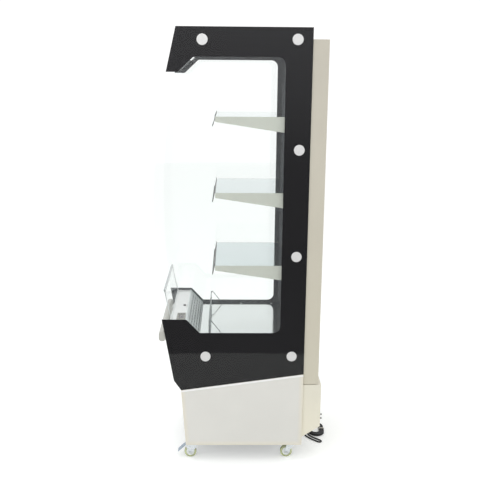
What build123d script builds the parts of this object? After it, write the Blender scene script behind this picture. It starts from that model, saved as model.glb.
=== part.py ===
"""Open-fronted refrigerated display case on four castors, in millimetres.

+Z is up, the open front faces -Y, and the origin is on the floor under the middle of the case.
Outlines seen from the side are drawn in the YZ plane as (y, z) pairs and extruded across the width.
"""
import os
from math import cos, hypot, pi, radians, sin, tan

from build123d import *

os.makedirs("parts", exist_ok=True)

# Driving sizes of the cabinet
clear_width = 442.0        # between the inner faces of the two glass panes
pane = 6.0                 # tempered side glass
glass_top = 1745.0         # top of the side glass and of the canopy
glass_rear = 262.0         # rear edge of the side glass
bulge_y = -336.0           # furthest point of the curved front edge of the glass
bulge_z = 1010.0
sheet = 1.5                # folded sheet steel
seat = 0.3                 # gap between a piece and what carries it
shaft_gap = 0.05           # radial clearance of a pin or shaft in its hole
foam = 45.0                # insulated floor of the tub
cheek = 26.0               # insulated side wall of the tub and of the air duct
rear_foam = 50.0           # insulated back
castor_height = 74.0
deck_top = 552.0
shelf_pitch = 290.5
shelf_count = 3
tube_dia = 7.0             # mains lead

# Side outline of the glass
arm_top_y = -243.0         # front end of the top edge
arm_low = (-280.5, 1582.5)     # lower corner of the top arm
lower_arm = (-311.5, 620.5)    # upper corner of the lower arm
toe = (-266.0, 360.0)
heel = (-237.0, 318.0)
rear_low_z = 388.0
base_slope = (rear_low_z - heel[1]) / (glass_rear - heel[0])


def glass_bottom(y):
    """Height of the sloping lower edge of the glass at y."""
    return heel[1] + base_slope * (y - heel[0])


half_clear = clear_width / 2
glass_outer = half_clear + pane
body_half = half_clear - seat

# Cabinet levels and depths
canopy_underside = glass_top - 93
canopy_rear_underside = glass_top - 65
duct_front = 193.9         # front face of the duct panel
cheek_front = duct_front + sheet + seat
casing_rear = glass_rear + 61
casing_top = glass_top - 42
casing_bottom = 342.5
foam_rear = casing_rear - sheet - seat
foam_front_of_back = foam_rear - rear_foam
cap_top = 610.0            # control cap over the front wall of the tub
front_wall_top = cap_top - sheet - seat
front_wall_inner = -212.0
panel_top = (-279.0, cap_top)
panel_knee = (-253.0, 356.0)
panel_foot = (-234.5, 320.0)
grille_head = (-216.0, front_wall_top)
tub_rim = deck_top - sheet - seat
grille_foot = (-162.5, tub_rim)
shelf_tops = [deck_top + 287.0 + i * shelf_pitch for i in range(shelf_count)]

# Round caps that hold the glass: (y, z) of each
cap_dia = 40.5
cap_proud = 4.0
stud_dia = 10.0
stud_reach = 18.0          # how far a stud goes into the insulated wall
rear_cap_y = glass_rear - 42.0
canopy_caps = [(-146.0, glass_top - 46), (205.0, glass_top - 43.5)]
body_caps = [(rear_cap_y, 1297.5), (rear_cap_y, 881.0), (-137.0, 465.5), (211.0, 466.0)]

# Base and castors
base_outer = glass_outer + 3.0
flange = 12.0
base_rear = glass_rear - 1.0
tray_half = base_outer - flange - 0.4
tray_front = -216.0
tray_rear = base_rear - 3.0
tray_rise = 28.0
base_front_low = (-219.5, castor_height)
cover_rear = 336.0
cover_top = 340.0
cover_low_front = 107.0
cover_low_rear = 155.0
casing_half = half_clear + sheet
castor_x = half_clear - 35.0
castor_front_y = -183.0    # swivel axis
castor_rear_y = 221.0
wheel_dia = 50.0
wheel_width = 18.0
castor_trail = 20.0
axle_dia = 6.0


def save(piece, name):
    """Label a finished sub-part and write it to its own file."""
    piece.part.label = name
    export_step(piece.part, f"parts/{name}.step")


def shifted(points, dy=0.0, dz=0.0):
    """The (y, z) points moved by dy and dz."""
    return [(y + dy, z + dz) for y, z in points]


def glass_outline():
    """Wire of the side glass; used inside a BuildLine."""
    Line((glass_rear, rear_low_z), (glass_rear, glass_top))
    Line((glass_rear, glass_top), (arm_top_y, glass_top))
    Line((arm_top_y, glass_top), arm_low)
    ThreePointArc(arm_low, (bulge_y, bulge_z), lower_arm)
    Line(lower_arm, toe)
    Line(toe, heel)
    Line(heel, (glass_rear, rear_low_z))


# Side glass: one tempered pane a side, drilled for the caps
glass_inner_x = {"left": -glass_outer, "right": half_clear}
for side, inner_x in glass_inner_x.items():
    with BuildPart() as side_glass:
        with BuildSketch(Plane.YZ.offset(inner_x)):
            with BuildLine():
                glass_outline()
            make_face()
            with Locations(*canopy_caps, *body_caps):
                Circle(stud_dia / 2 + 0.25, mode=Mode.SUBTRACT)
        extrude(amount=pane)
    save(side_glass, f"side_glass_{side}")

# Glass caps: brushed discs on studs, six a side
with BuildPart() as glass_caps:
    for sign in (-1, 1):
        face = Plane(origin=(sign * glass_outer, 0, 0), x_dir=(0, 1, 0), z_dir=(1, 0, 0))
        with BuildSketch(face):
            with Locations(*canopy_caps, *body_caps):
                Circle(cap_dia / 2)
        extrude(amount=sign * cap_proud)
        with BuildSketch(face):
            with Locations(*canopy_caps, *body_caps):
                Circle(stud_dia / 2 - shaft_gap)
        extrude(amount=-sign * (pane + stud_reach))
    rims = glass_caps.edges().filter_by(GeomType.CIRCLE)
    rims = rims.filter_by(lambda e: abs(abs(e.center().X) - glass_outer - cap_proud) < 0.01)
    chamfer(rims, 0.8)
save(glass_caps, "glass_caps")

# Insulated body: foamed tub, side cheeks of the air duct and the back, in one moulding
tub_outline = [
    (panel_top[0] + sheet + seat, front_wall_top),
    grille_head,
    grille_foot,
    (cheek_front, tub_rim),
    (cheek_front, canopy_rear_underside - seat),
    (glass_rear + seat, canopy_rear_underside - seat),
    (glass_rear + seat, casing_top - sheet - seat),
    (foam_rear, casing_top - sheet - seat),
    (foam_rear, glass_bottom(foam_rear)),
    (panel_foot[0] + sheet + seat, glass_bottom(panel_foot[0] + sheet + seat)),
    (panel_foot[0] + sheet + seat, panel_foot[1]),
    (panel_knee[0] + sheet + seat, panel_knee[1]),
]
cavity_outline = [
    (front_wall_inner, front_wall_top + 90),
    (cheek_front - 9, front_wall_top + 90),
    (cheek_front - 9, casing_top + 5),
    (foam_front_of_back, casing_top + 5),
    (foam_front_of_back, glass_bottom(foam_front_of_back) + foam),
    (front_wall_inner, glass_bottom(front_wall_inner) + foam),
]
duct_half = body_half - cheek

# Controller set into the control cap
controller_x = 151.5
controller_y = -238.0
controller_face = (77.0, 35.0, 3.0)
controller_body = (70.4, 28.4, 24.0)

# Deck screws and pipe holes that the insulated body is drilled for
screw_dia = 4.0
screw_x = body_half - 16.5
deck_screw_spots = [(s * screw_x, y) for s in (-1, 1) for y in (-125.0, 14.0, 152.0)]
pipe_dia = 8.0
suction_xy = (30.0, 60.0)
liquid_xy = (80.0, 0.0)

with BuildPart() as insulated_body:
    with BuildSketch(Plane.YZ):
        with BuildLine():
            Polyline(*tub_outline, close=True)
        make_face()
    extrude(amount=body_half, both=True)
    with BuildSketch(Plane.YZ):
        with BuildLine():
            Polyline(*cavity_outline, close=True)
        make_face()
    extrude(amount=duct_half, both=True, mode=Mode.SUBTRACT)
    for sign in (-1, 1):
        with BuildSketch(Plane(origin=(sign * body_half, 0, 0), x_dir=(0, 1, 0), z_dir=(1, 0, 0))):
            with Locations(*body_caps):
                Circle(stud_dia / 2)
        extrude(amount=-sign * (stud_reach + 1), mode=Mode.SUBTRACT)
    with BuildSketch(Plane.XY.offset(tub_rim)):
        with Locations(*deck_screw_spots):
            Circle(screw_dia / 2)
    extrude(amount=-16, mode=Mode.SUBTRACT)
    with BuildSketch(Plane.XY.offset(glass_bottom(0) - 20)):
        with Locations(suction_xy, liquid_xy):
            Circle(pipe_dia / 2 + 1)
    extrude(amount=foam + 60, mode=Mode.SUBTRACT)
    with BuildSketch(Plane.XY.offset(front_wall_top)):
        with Locations((controller_x, controller_y)):
            Rectangle(controller_body[0] + 1, controller_body[1] + 1)
    extrude(amount=-controller_body[2], mode=Mode.SUBTRACT)
save(insulated_body, "insulated_body")

# Front panel below the opening, with two stand-offs for the bumper bar
bar_depth = 27.0
bar_height = 41.0
bar_rear_y = -298.0
bar_wall = 2.5
bar_corner = bar_depth / 2 - 1.5
bar_half = half_clear - 2.0
bar_end = 4.0              # thickness of the bar's end cap
bar_z = 547.0
standoff_x = 150.0
standoff_half = (17.0, 11.0)     # half width and half height
panel_slope = (panel_knee[0] - panel_top[0]) / (panel_top[1] - panel_knee[1])


def panel_face(z):
    """Y of the outer face of the front panel at height z, above its knee."""
    return panel_top[0] + panel_slope * (panel_top[1] - z)


with BuildPart() as front_panel:
    with BuildSketch(Plane.YZ):
        with BuildLine():
            outer = [panel_top, panel_knee, panel_foot]
            Polyline(*outer, *reversed(shifted(outer, dy=sheet)), close=True)
        make_face()
    extrude(amount=body_half, both=True)
    for x in (-standoff_x, standoff_x):
        with BuildSketch(Plane.YZ.offset(x)):
            with BuildLine():
                low_z, high_z = bar_z - standoff_half[1], bar_z + standoff_half[1]
                Polyline(
                    (bar_rear_y + seat, low_z),
                    (bar_rear_y + seat, high_z),
                    (panel_face(high_z) + sheet / 2, high_z),
                    (panel_face(low_z) + sheet / 2, low_z),
                    close=True,
                )
            make_face()
        extrude(amount=standoff_half[0], both=True)
save(front_panel, "front_panel")

# Bumper bar: one length of oval section in front of the panel
with BuildPart() as bumper_bar:
    with BuildSketch(Plane.YZ):
        with Locations((bar_rear_y - bar_depth / 2, bar_z)):
            RectangleRounded(bar_depth, bar_height, bar_corner)
            inner = (bar_depth - 2 * bar_wall, bar_height - 2 * bar_wall)
            RectangleRounded(*inner, bar_corner - bar_wall, mode=Mode.SUBTRACT)
    extrude(amount=bar_half - bar_end, both=True)
    for sign in (-1, 1):
        with BuildSketch(Plane.YZ.offset(sign * (bar_half - bar_end))):
            with Locations((bar_rear_y - bar_depth / 2, bar_z)):
                RectangleRounded(bar_depth, bar_height, bar_corner)
        extrude(amount=sign * bar_end)
save(bumper_bar, "bumper_bar")

# Canopy: insulated head that turns the cold air forward and down
canopy_outline = [
    (glass_rear, glass_top),
    (arm_top_y + 4, glass_top),
    (arm_low[0] + 8.5, arm_low[1] + 11.5),
    (arm_low[0] + 30.5, arm_low[1] + 11.5),
    (-188.0, canopy_underside),
    (cheek_front - seat, canopy_underside),
    (cheek_front - seat, canopy_rear_underside),
    (glass_rear, canopy_rear_underside),
]
air_slot = (-175.0, -110.0)
canopy_roof = glass_top - 20
with BuildPart() as canopy:
    with BuildSketch(Plane.YZ):
        with BuildLine():
            Polyline(*canopy_outline, close=True)
        make_face()
    extrude(amount=body_half, both=True)
    with BuildSketch(Plane.YZ):
        with BuildLine():
            Polyline(
                (air_slot[0], canopy_underside - 5),
                (air_slot[0], canopy_roof),
                (glass_rear - 4, canopy_roof),
                (glass_rear - 4, canopy_rear_underside - 5),
                (cheek_front + 3, canopy_rear_underside - 5),
                (cheek_front + 3, canopy_underside + 22),
                (air_slot[1], canopy_underside + 22),
                (air_slot[1], canopy_underside - 5),
                close=True,
            )
        make_face()
    extrude(amount=duct_half, both=True, mode=Mode.SUBTRACT)
    for sign in (-1, 1):
        with BuildSketch(Plane(origin=(sign * body_half, 0, 0), x_dir=(0, 1, 0), z_dir=(1, 0, 0))):
            with Locations(*canopy_caps):
                Circle(stud_dia / 2)
        extrude(amount=-sign * (stud_reach + 1), mode=Mode.SUBTRACT)
save(canopy, "canopy")

# Air-discharge grid in the canopy slot
grid_cells = (24, 4)
grid_half_x = duct_half - seat
grid_depth = air_slot[1] - air_slot[0] - 2 * seat
with BuildPart() as discharge_grid:
    with BuildSketch(Plane.XY.offset(canopy_underside + 1)):
        with Locations((0, (air_slot[0] + air_slot[1]) / 2)):
            Rectangle(2 * grid_half_x, grid_depth)
            with GridLocations(2 * grid_half_x / grid_cells[0] - 0.1, grid_depth / grid_cells[1] - 0.5, *grid_cells):
                Rectangle(2 * grid_half_x / grid_cells[0] - 2.5, grid_depth / grid_cells[1] - 2.5, mode=Mode.SUBTRACT)
    extrude(amount=9)
save(discharge_grid, "discharge_grid")

# Lamp strip on the sloping front of the canopy underside
lamp_low = canopy_outline[3]
lamp_high = canopy_outline[4]
lamp_run = hypot(lamp_high[0] - lamp_low[0], lamp_high[1] - lamp_low[1])
lamp_down = (0, (lamp_high[1] - lamp_low[1]) / lamp_run, -(lamp_high[0] - lamp_low[0]) / lamp_run)
lamp_share = 0.82          # how far up the slope the middle of the lamp is
lamp_mid = (
    0,
    lamp_low[0] + lamp_share * (lamp_high[0] - lamp_low[0]),
    lamp_low[1] + lamp_share * (lamp_high[1] - lamp_low[1]),
)
lamp_plane = Plane(origin=lamp_mid, x_dir=(1, 0, 0), z_dir=lamp_down)
with BuildPart() as led_lamp:
    with BuildSketch(lamp_plane.offset(seat)):
        RectangleRounded(2 * body_half - 40, 22, 3)
    extrude(amount=8)
    fillet(led_lamp.faces().sort_by(lambda f: lamp_plane.to_local_coords(f.center()).Z)[-1].edges(), 2.5)
save(led_lamp, "led_lamp")

# Control cap: sheet over the front wall of the tub, with the raised ring of the lamp switch
switch_x = 13.0
switch_y = -232.0
switch_dia = 21.0
ring_height = 2.2
rocker_half = 6.8
rocker_wide = 11.0
cap_front = panel_top[0] + sheet + seat
cap_rear = grille_head[0] - 2
with BuildPart() as control_cap:
    with BuildSketch(Plane.XY.offset(cap_top)):
        with Locations((0, (cap_front + cap_rear) / 2)):
            Rectangle(2 * body_half, cap_rear - cap_front)
        with Locations((controller_x, controller_y)):
            Rectangle(controller_body[0] + 0.6, controller_body[1] + 0.6, mode=Mode.SUBTRACT)
    extrude(amount=-sheet)
    with BuildSketch(Plane.XY.offset(cap_top)):
        with Locations((switch_x, switch_y)):
            Circle(switch_dia / 2)
            Rectangle(2 * rocker_half + 0.8, rocker_wide + 0.6, mode=Mode.SUBTRACT)
    extrude(amount=ring_height)
    fillet(control_cap.faces().sort_by(Axis.Z)[-1].edges().filter_by(GeomType.CIRCLE), 0.8)
save(control_cap, "control_cap")

# Controller: bezel on the cap, body through it, three button holes and a display recess
button_size = (8.0, 6.0)
button_pitch = button_size[1] + 3.4
button_x = controller_x - 20.0
button_travel = 1.2
button_names = ("set", "up", "down")
button_spots = [(button_x, controller_y + (i - 1) * button_pitch) for i in range(len(button_names))]
with BuildPart() as controller:
    with BuildSketch(Plane.XY.offset(cap_top)):
        with Locations((controller_x, controller_y)):
            RectangleRounded(controller_face[0], controller_face[1], 3)
    extrude(amount=controller_face[2])
    fillet(controller.faces().sort_by(Axis.Z)[-1].edges(), 1.0)
    with BuildSketch(Plane.XY.offset(cap_top)):
        with Locations((controller_x, controller_y)):
            Rectangle(controller_body[0], controller_body[1])
    extrude(amount=-controller_body[2] + 2)
    with BuildSketch(Plane.XY.offset(cap_top + controller_face[2])):
        with Locations((controller_x + 12, controller_y)):
            RectangleRounded(40, 20, 1.5)
    extrude(amount=-0.8, mode=Mode.SUBTRACT)
    with BuildSketch(Plane.XY.offset(cap_top + controller_face[2])):
        with Locations(*button_spots):
            RectangleRounded(button_size[0] + 0.5, button_size[1] + 0.5, 1)
    extrude(amount=-7, mode=Mode.SUBTRACT)
save(controller, "controller")

# Controller buttons
for name, spot in zip(button_names, button_spots):
    with BuildPart() as button:
        with BuildSketch(Plane.XY.offset(cap_top + controller_face[2] - 7 + button_travel + 0.3)):
            with Locations(spot):
                RectangleRounded(button_size[0], button_size[1], 0.9)
        extrude(amount=7)
        fillet(button.faces().sort_by(Axis.Z)[-1].edges(), 0.4)
    save(button, f"button_{name}")

# Rocker of the lamp switch, in the ring of the control cap
rocker_low = cap_top + 2 * seat
rocker_dip = rocker_low + 2.2
rocker_peak = rocker_low + 3.6
with BuildPart() as light_switch:
    with BuildSketch(Plane.XZ.offset(-switch_y)):
        with BuildLine():
            Polyline(
                (switch_x - rocker_half + 0.4, rocker_low),
                (switch_x + rocker_half - 0.4, rocker_low),
                (switch_x + rocker_half, rocker_peak),
                (switch_x, rocker_dip),
                (switch_x - rocker_half, rocker_peak),
                close=True,
            )
        make_face()
    extrude(amount=rocker_wide / 2, both=True)
save(light_switch, "light_switch")

# Return-air grille: slotted plate that leans from the control cap down to the deck
grille_run = hypot(grille_foot[0] - grille_head[0], grille_foot[1] - grille_head[1])
grille_dir = ((grille_foot[0] - grille_head[0]) / grille_run, (grille_foot[1] - grille_head[1]) / grille_run)
grille_up = (-grille_dir[1], grille_dir[0])
lip = 4.0
bar_pitch = 13.6
slot_rows = 5
slot_columns = 12
slot_wide = 8.0
slot_bridge = 8.0          # metal left between two slots in a row


def above(point, lift):
    """A (y, z) point raised by lift, square to the grille."""
    return (point[0] + grille_up[0] * lift, point[1] + grille_up[1] * lift)


grille_half = body_half - 1.2
under_head = above(grille_head, seat)
under_foot = above(grille_foot, seat)
with BuildPart() as return_grille:
    with BuildSketch(Plane.YZ):
        with BuildLine():
            Polyline(
                (grille_head[0] - lip, cap_top + seat),
                (grille_head[0] - 1.4, cap_top + seat),
                under_head,
                under_foot,
                above(grille_foot, seat + sheet),
                (grille_head[0] + 1.6, cap_top + seat + sheet),
                (grille_head[0] - lip, cap_top + seat + sheet),
                close=True,
            )
        make_face()
    extrude(amount=grille_half, both=True)
    mid = ((grille_head[0] + grille_foot[0]) / 2, (grille_head[1] + grille_foot[1]) / 2)
    slot_plane = Plane(
        origin=(0, mid[0] + 2, mid[1] - 2),
        x_dir=(1, 0, 0),
        z_dir=(0, grille_up[0], grille_up[1]),
    )
    column_pitch = 2 * (grille_half - slot_bridge) / slot_columns
    with BuildSketch(slot_plane.offset(-3)):
        with GridLocations(column_pitch, bar_pitch, slot_columns, slot_rows):
            SlotOverall(column_pitch - slot_bridge, slot_wide)
    extrude(amount=9, mode=Mode.SUBTRACT)
save(return_grille, "return_grille")

# Guard glass: curved clear screen that stands on the control cap
guard_half = half_clear - 22
guard_thick = 4.0
guard_foot = (-275.5, cap_top + seat)
guard_mid = (-291.0, 678.0)
guard_head = (-302.0, 735.0)
with BuildPart() as guard_glass:
    with BuildSketch(Plane.YZ):
        with BuildLine():
            ThreePointArc(guard_foot, guard_mid, guard_head)
            inner_foot = (guard_foot[0] + guard_thick, guard_foot[1])
            inner_mid = (guard_mid[0] + guard_thick, guard_mid[1])
            inner_head = (guard_head[0] + guard_thick, guard_head[1] + 1)
            Line(guard_head, inner_head)
            ThreePointArc(inner_head, inner_mid, inner_foot)
            Line(inner_foot, guard_foot)
        make_face()
    extrude(amount=guard_half, both=True)
save(guard_glass, "guard_glass")

# Edge trim: channel along the top of the guard glass
guard_lean = (guard_head[0] - guard_mid[0], guard_head[1] - guard_mid[1])
lean_len = hypot(*guard_lean)
trim_up = (guard_lean[0] / lean_len, guard_lean[1] / lean_len)
trim_plane = Plane(
    origin=(0, guard_head[0] + guard_thick / 2, guard_head[1] + 0.5),
    x_dir=(0, trim_up[1], -trim_up[0]),
    z_dir=(1, 0, 0),
)
with BuildPart() as guard_trim:
    with BuildSketch(trim_plane):
        with Locations((0, -2)):
            RectangleRounded(guard_thick + 4, 10, 1.5)
        with Locations((0, -4)):
            Rectangle(guard_thick + 1.0, 9.0, mode=Mode.SUBTRACT)
    extrude(amount=guard_half + 0.5, both=True)
save(guard_trim, "guard_trim")

# Deck: bright floor of the chamber, screwed down along both sides
deck_front = grille_foot[0] + 2.6
deck_rear = duct_front - seat
with BuildPart() as deck:
    with BuildSketch(Plane.XY.offset(deck_top)):
        with Locations((0, (deck_front + deck_rear) / 2)):
            Rectangle(2 * body_half, deck_rear - deck_front)
        with Locations(*deck_screw_spots):
            Circle(screw_dia / 2 + 0.3, mode=Mode.SUBTRACT)
    extrude(amount=-sheet)
    with BuildSketch(Plane.XY.offset(deck_top - sheet)):
        with Locations((0, deck_front + sheet / 2)):
            Rectangle(2 * duct_half - 4, sheet)
    extrude(amount=-12)
save(deck, "deck")

# Deck screws
with BuildPart() as deck_screws:
    with BuildSketch(Plane.XY.offset(deck_top)):
        with Locations(*deck_screw_spots):
            Circle(screw_dia)
    extrude(amount=2)
    fillet(deck_screws.faces().filter_by(lambda f: f.center().Z > deck_top + 1.9).edges(), 1.2)
    with BuildSketch(Plane.XY.offset(deck_top)):
        with Locations(*deck_screw_spots):
            Circle(screw_dia / 2 - shaft_gap)
    extrude(amount=-14)
save(deck_screws, "deck_screws")

# Wire fence across the front of the deck
wire = 3.0
fence_half = half_clear - 21
fence_y = -122.0
fence_top = deck_top + 58
prop_y = fence_y + 47
prop_high = 54.0
fence_rails = (deck_top + seat + wire / 2, deck_top + 30.0, fence_top)
fence_posts = 9
with BuildPart() as wire_fence:
    for rail_z in fence_rails:
        with BuildSketch(Plane.YZ):
            with Locations((fence_y, rail_z)):
                Circle(wire / 2)
        extrude(amount=fence_half, both=True)
    with BuildSketch(Plane.XY.offset(fence_rails[0])):
        with Locations((0, fence_y - wire * 0.6)):
            with GridLocations(2 * fence_half / (fence_posts - 1) - 1, 1, fence_posts, 1):
                Circle(wire / 2)
    extrude(amount=fence_top - fence_rails[0])
    for x in (-fence_half + wire / 2, fence_half - wire / 2):
        with BuildLine(Plane.YZ.offset(x)):
            prop_path = FilletPolyline(
                (fence_y, fence_top - 4),
                (fence_y + 4, deck_top + prop_high + 6),
                (prop_y, deck_top + seat + wire / 2 + 3),
                (prop_y, deck_top + seat + wire / 2),
                radius=1.2,
            )
        with BuildSketch(Plane(origin=prop_path @ 0, z_dir=prop_path % 0)):
            Circle(wire / 2)
        sweep()
save(wire_fence, "wire_fence")

# Duct panel: punched back wall of the chamber
panel_low = deck_top + seat
panel_high = canopy_underside - seat
vent_rows = [top - 100 for top in shelf_tops] + [top - 130 for top in shelf_tops]
with BuildPart() as duct_panel:
    with BuildSketch(Plane.XZ.offset(-duct_front - sheet)):
        with Locations((0, (panel_low + panel_high) / 2)):
            Rectangle(2 * body_half, panel_high - panel_low)
        for vent_z in vent_rows:
            with Locations((0, vent_z)):
                with GridLocations(62, 1, 5, 1):
                    SlotOverall(46, 6, mode=Mode.SUBTRACT)
    extrude(amount=sheet)
save(duct_panel, "duct_panel")

# Shelf standards: slotted channels that the brackets hook into
rack_pitch = shelf_pitch / 7
bracket_x = half_clear - 16.0
bracket_thick = 2.0
rack_wide = 14.0
rack_deep = 9.6
rack_front = duct_front - seat - rack_deep
rack_low = deck_top + 20.0
rack_high = shelf_tops[-1] + 120.0
first_hook = shelf_tops[0] - 11.0
hook_count = int((rack_high - first_hook) / rack_pitch)
hook_levels = [first_hook + k * rack_pitch for k in range(-5, hook_count)]
hook_tall = 10.0
with BuildPart() as shelf_standards:
    for sign in (-1, 1):
        mid_y = rack_front + rack_deep / 2
        with BuildSketch(Plane.XY.offset(rack_low)):
            with Locations((sign * bracket_x, mid_y)):
                Rectangle(rack_wide, rack_deep)
            with Locations((sign * bracket_x, mid_y + sheet)):
                Rectangle(rack_wide - 2 * sheet, rack_deep, mode=Mode.SUBTRACT)
        extrude(amount=rack_high - rack_low)
    with BuildSketch(Plane.XZ.offset(-rack_front - sheet - 1)):
        for sign in (-1, 1):
            with Locations(*[(sign * bracket_x, level) for level in hook_levels]):
                Rectangle(bracket_thick + 0.6, hook_tall + 2)
    extrude(amount=sheet + 2, mode=Mode.SUBTRACT)
save(shelf_standards, "shelf_standards")

# Shelves: bright steel plates with a front lip turned down
shelf_half = bracket_x - bracket_thick / 2 - 0.4
shelf_front = -99.2
shelf_rear = rack_front - 0.5
shelf_sheet = 1.2
shelf_lip = 18.0
for number, top in enumerate(shelf_tops, start=1):
    with BuildPart() as shelf:
        with BuildSketch(Plane.XY.offset(top)):
            with Locations((0, (shelf_front + shelf_rear) / 2)):
                Rectangle(2 * shelf_half, shelf_rear - shelf_front)
        extrude(amount=-shelf_sheet)
        with BuildSketch(Plane.XY.offset(top)):
            with Locations((0, shelf_front + shelf_sheet / 2)):
                Rectangle(2 * shelf_half - 8, shelf_sheet)
        extrude(amount=-shelf_lip)
    save(shelf, f"shelf_{number}")

# Shelf brackets: tapering side plates with a ledge under the shelf and two hooks behind
bracket_front_drop = 20.0
bracket_rear_drop = 62.0
ledge = 12.0
with BuildPart() as shelf_brackets:
    for top in shelf_tops:
        for sign in (-1, 1):
            outer_x = sign * bracket_x - bracket_thick / 2
            with BuildSketch(Plane.YZ.offset(outer_x)):
                with BuildLine():
                    Polyline(
                        (shelf_front + 0.4, top),
                        (shelf_front + 0.4, top - bracket_front_drop),
                        (rack_front - seat, top - bracket_rear_drop),
                        (rack_front - seat, top),
                        close=True,
                    )
                make_face()
                for drop in (11.0, 11.0 + rack_pitch):
                    with Locations((rack_front + 2, top - drop)):
                        Rectangle(7, hook_tall)
            extrude(amount=bracket_thick)
            with BuildSketch(Plane.XY.offset(top - shelf_sheet - seat)):
                with Locations((sign * (bracket_x - ledge / 2), (shelf_front + shelf_rear) / 2 + 6)):
                    Rectangle(ledge, shelf_rear - shelf_front - 20)
            extrude(amount=-sheet)
save(shelf_brackets, "shelf_brackets")

# Price strips: leaning plastic strips along the front of each shelf
strip_thick = 2.0
strip_rise = 4.0
strip_drop = 36.0
strip_lean = 9.0
strip_rear_y = shelf_front - seat + strip_lean * strip_rise / (strip_rise + strip_drop)
with BuildPart() as price_strips:
    for top in shelf_tops:
        with BuildSketch(Plane.YZ):
            with BuildLine():
                Polyline(
                    (strip_rear_y, top + strip_rise),
                    (strip_rear_y - strip_thick, top + strip_rise),
                    (strip_rear_y - strip_thick - strip_lean, top - strip_drop),
                    (strip_rear_y - strip_lean, top - strip_drop),
                    close=True,
                )
            make_face()
        extrude(amount=shelf_half + 1, both=True)
save(price_strips, "price_strips")

# Rear casing: folded steel box over the insulated back
with BuildPart() as rear_casing:
    with BuildSketch(Plane.XY.offset(casing_bottom)):
        with Locations((0, (glass_rear + seat + casing_rear) / 2)):
            Rectangle(2 * casing_half, casing_rear - glass_rear - seat)
    extrude(amount=casing_top - casing_bottom)
    with BuildSketch(Plane.XY.offset(casing_bottom + sheet)):
        with Locations((0, (glass_rear + casing_rear) / 2 - sheet)):
            Rectangle(2 * (casing_half - sheet), casing_rear - glass_rear)
    extrude(amount=casing_top - casing_bottom - 2 * sheet, mode=Mode.SUBTRACT)
save(rear_casing, "rear_casing")

# Gland position on the slanted underside of the rear lower cover
cover_front = base_rear + seat
slant = hypot(cover_rear - cover_front, cover_low_rear - cover_low_front)
slant_dir = ((cover_rear - cover_front) / slant, (cover_low_rear - cover_low_front) / slant)
gland_out = (0, slant_dir[1], -slant_dir[0])
gland_x = -60.0
gland_spot = (
    gland_x,
    cover_front + slant_dir[0] * slant / 2,
    cover_low_front + slant_dir[1] * slant / 2,
)
gland_hole = 14.0

# Rear lower cover over the machine compartment, open towards the base
cover_outline = [
    (cover_front, cover_top),
    (cover_rear, cover_top),
    (cover_rear, cover_low_rear),
    (cover_front, cover_low_front),
]
with BuildPart() as rear_lower_cover:
    with BuildSketch(Plane.YZ):
        with BuildLine():
            Polyline(*cover_outline, close=True)
        make_face()
    extrude(amount=casing_half, both=True)
    with BuildSketch(Plane.YZ):
        with BuildLine():
            Polyline(
                (cover_front - 5, cover_top - sheet),
                (cover_rear - sheet, cover_top - sheet),
                (cover_rear - sheet, cover_low_rear + sheet * 0.7),
                (cover_front, cover_low_front + sheet * 1.2),
                (cover_front - 5, cover_low_front + sheet * 1.2),
                close=True,
            )
        make_face()
    extrude(amount=casing_half - sheet, both=True, mode=Mode.SUBTRACT)
    with BuildSketch(Plane.XZ.offset(-cover_rear - 1)):
        with Locations((0, (cover_top + cover_low_rear) / 2 + 10)):
            with GridLocations(150, 14, 2, 7):
                SlotOverall(120, 5)
    extrude(amount=sheet + 2, mode=Mode.SUBTRACT)
    with BuildSketch(Plane(origin=gland_spot, x_dir=(1, 0, 0), z_dir=gland_out).offset(-4)):
        Circle(gland_hole / 2)
    extrude(amount=8, mode=Mode.SUBTRACT)
save(rear_lower_cover, "rear_lower_cover")

# Base side panels: hemmed steel pans under the glass
base_top_rear = glass_bottom(base_rear) - seat
base_top_front = glass_bottom(heel[0]) - seat
base_outline = [
    base_front_low,
    (base_rear, castor_height),
    (base_rear, base_top_rear),
    (heel[0], base_top_front),
]
base_hollow = [
    (base_front_low[0] + 2 * sheet, castor_height + sheet),
    (base_rear - sheet, castor_height + sheet),
    (base_rear - sheet, base_top_rear - sheet * 1.1),
    (heel[0] + 2 * sheet, base_top_front - sheet),
]
for side, sign in (("left", -1), ("right", 1)):
    with BuildPart() as base_side:
        with BuildSketch(Plane.YZ.offset(sign * base_outer)):
            with BuildLine():
                Polyline(*base_outline, close=True)
            make_face()
        extrude(amount=-sign * flange)
        with BuildSketch(Plane.YZ.offset(sign * (base_outer - sheet))):
            with BuildLine():
                Polyline(*base_hollow, close=True)
            make_face()
        extrude(amount=-sign * flange, mode=Mode.SUBTRACT)
    save(base_side, f"base_side_{side}")

# Base front grille: louvred sheet that leans back towards the floor
lean_run = hypot(heel[0] - base_front_low[0], base_top_front - castor_height)
lean_dir = ((heel[0] - base_front_low[0]) / lean_run, (base_top_front - castor_height) / lean_run)
grille_plane = Plane(
    origin=(0, (heel[0] + base_front_low[0]) / 2, (base_top_front + castor_height) / 2),
    x_dir=(1, 0, 0),
    z_dir=(0, -lean_dir[1], lean_dir[0]),
)
louvre_rows = 10
with BuildPart() as base_front_grille:
    with BuildSketch(grille_plane):
        Rectangle(2 * tray_half, lean_run - 3)
        with GridLocations(tray_half, 17, 2, louvre_rows):
            SlotOverall(tray_half - 24, 7, mode=Mode.SUBTRACT)
    extrude(amount=-sheet)
save(base_front_grille, "base_front_grille")

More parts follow.
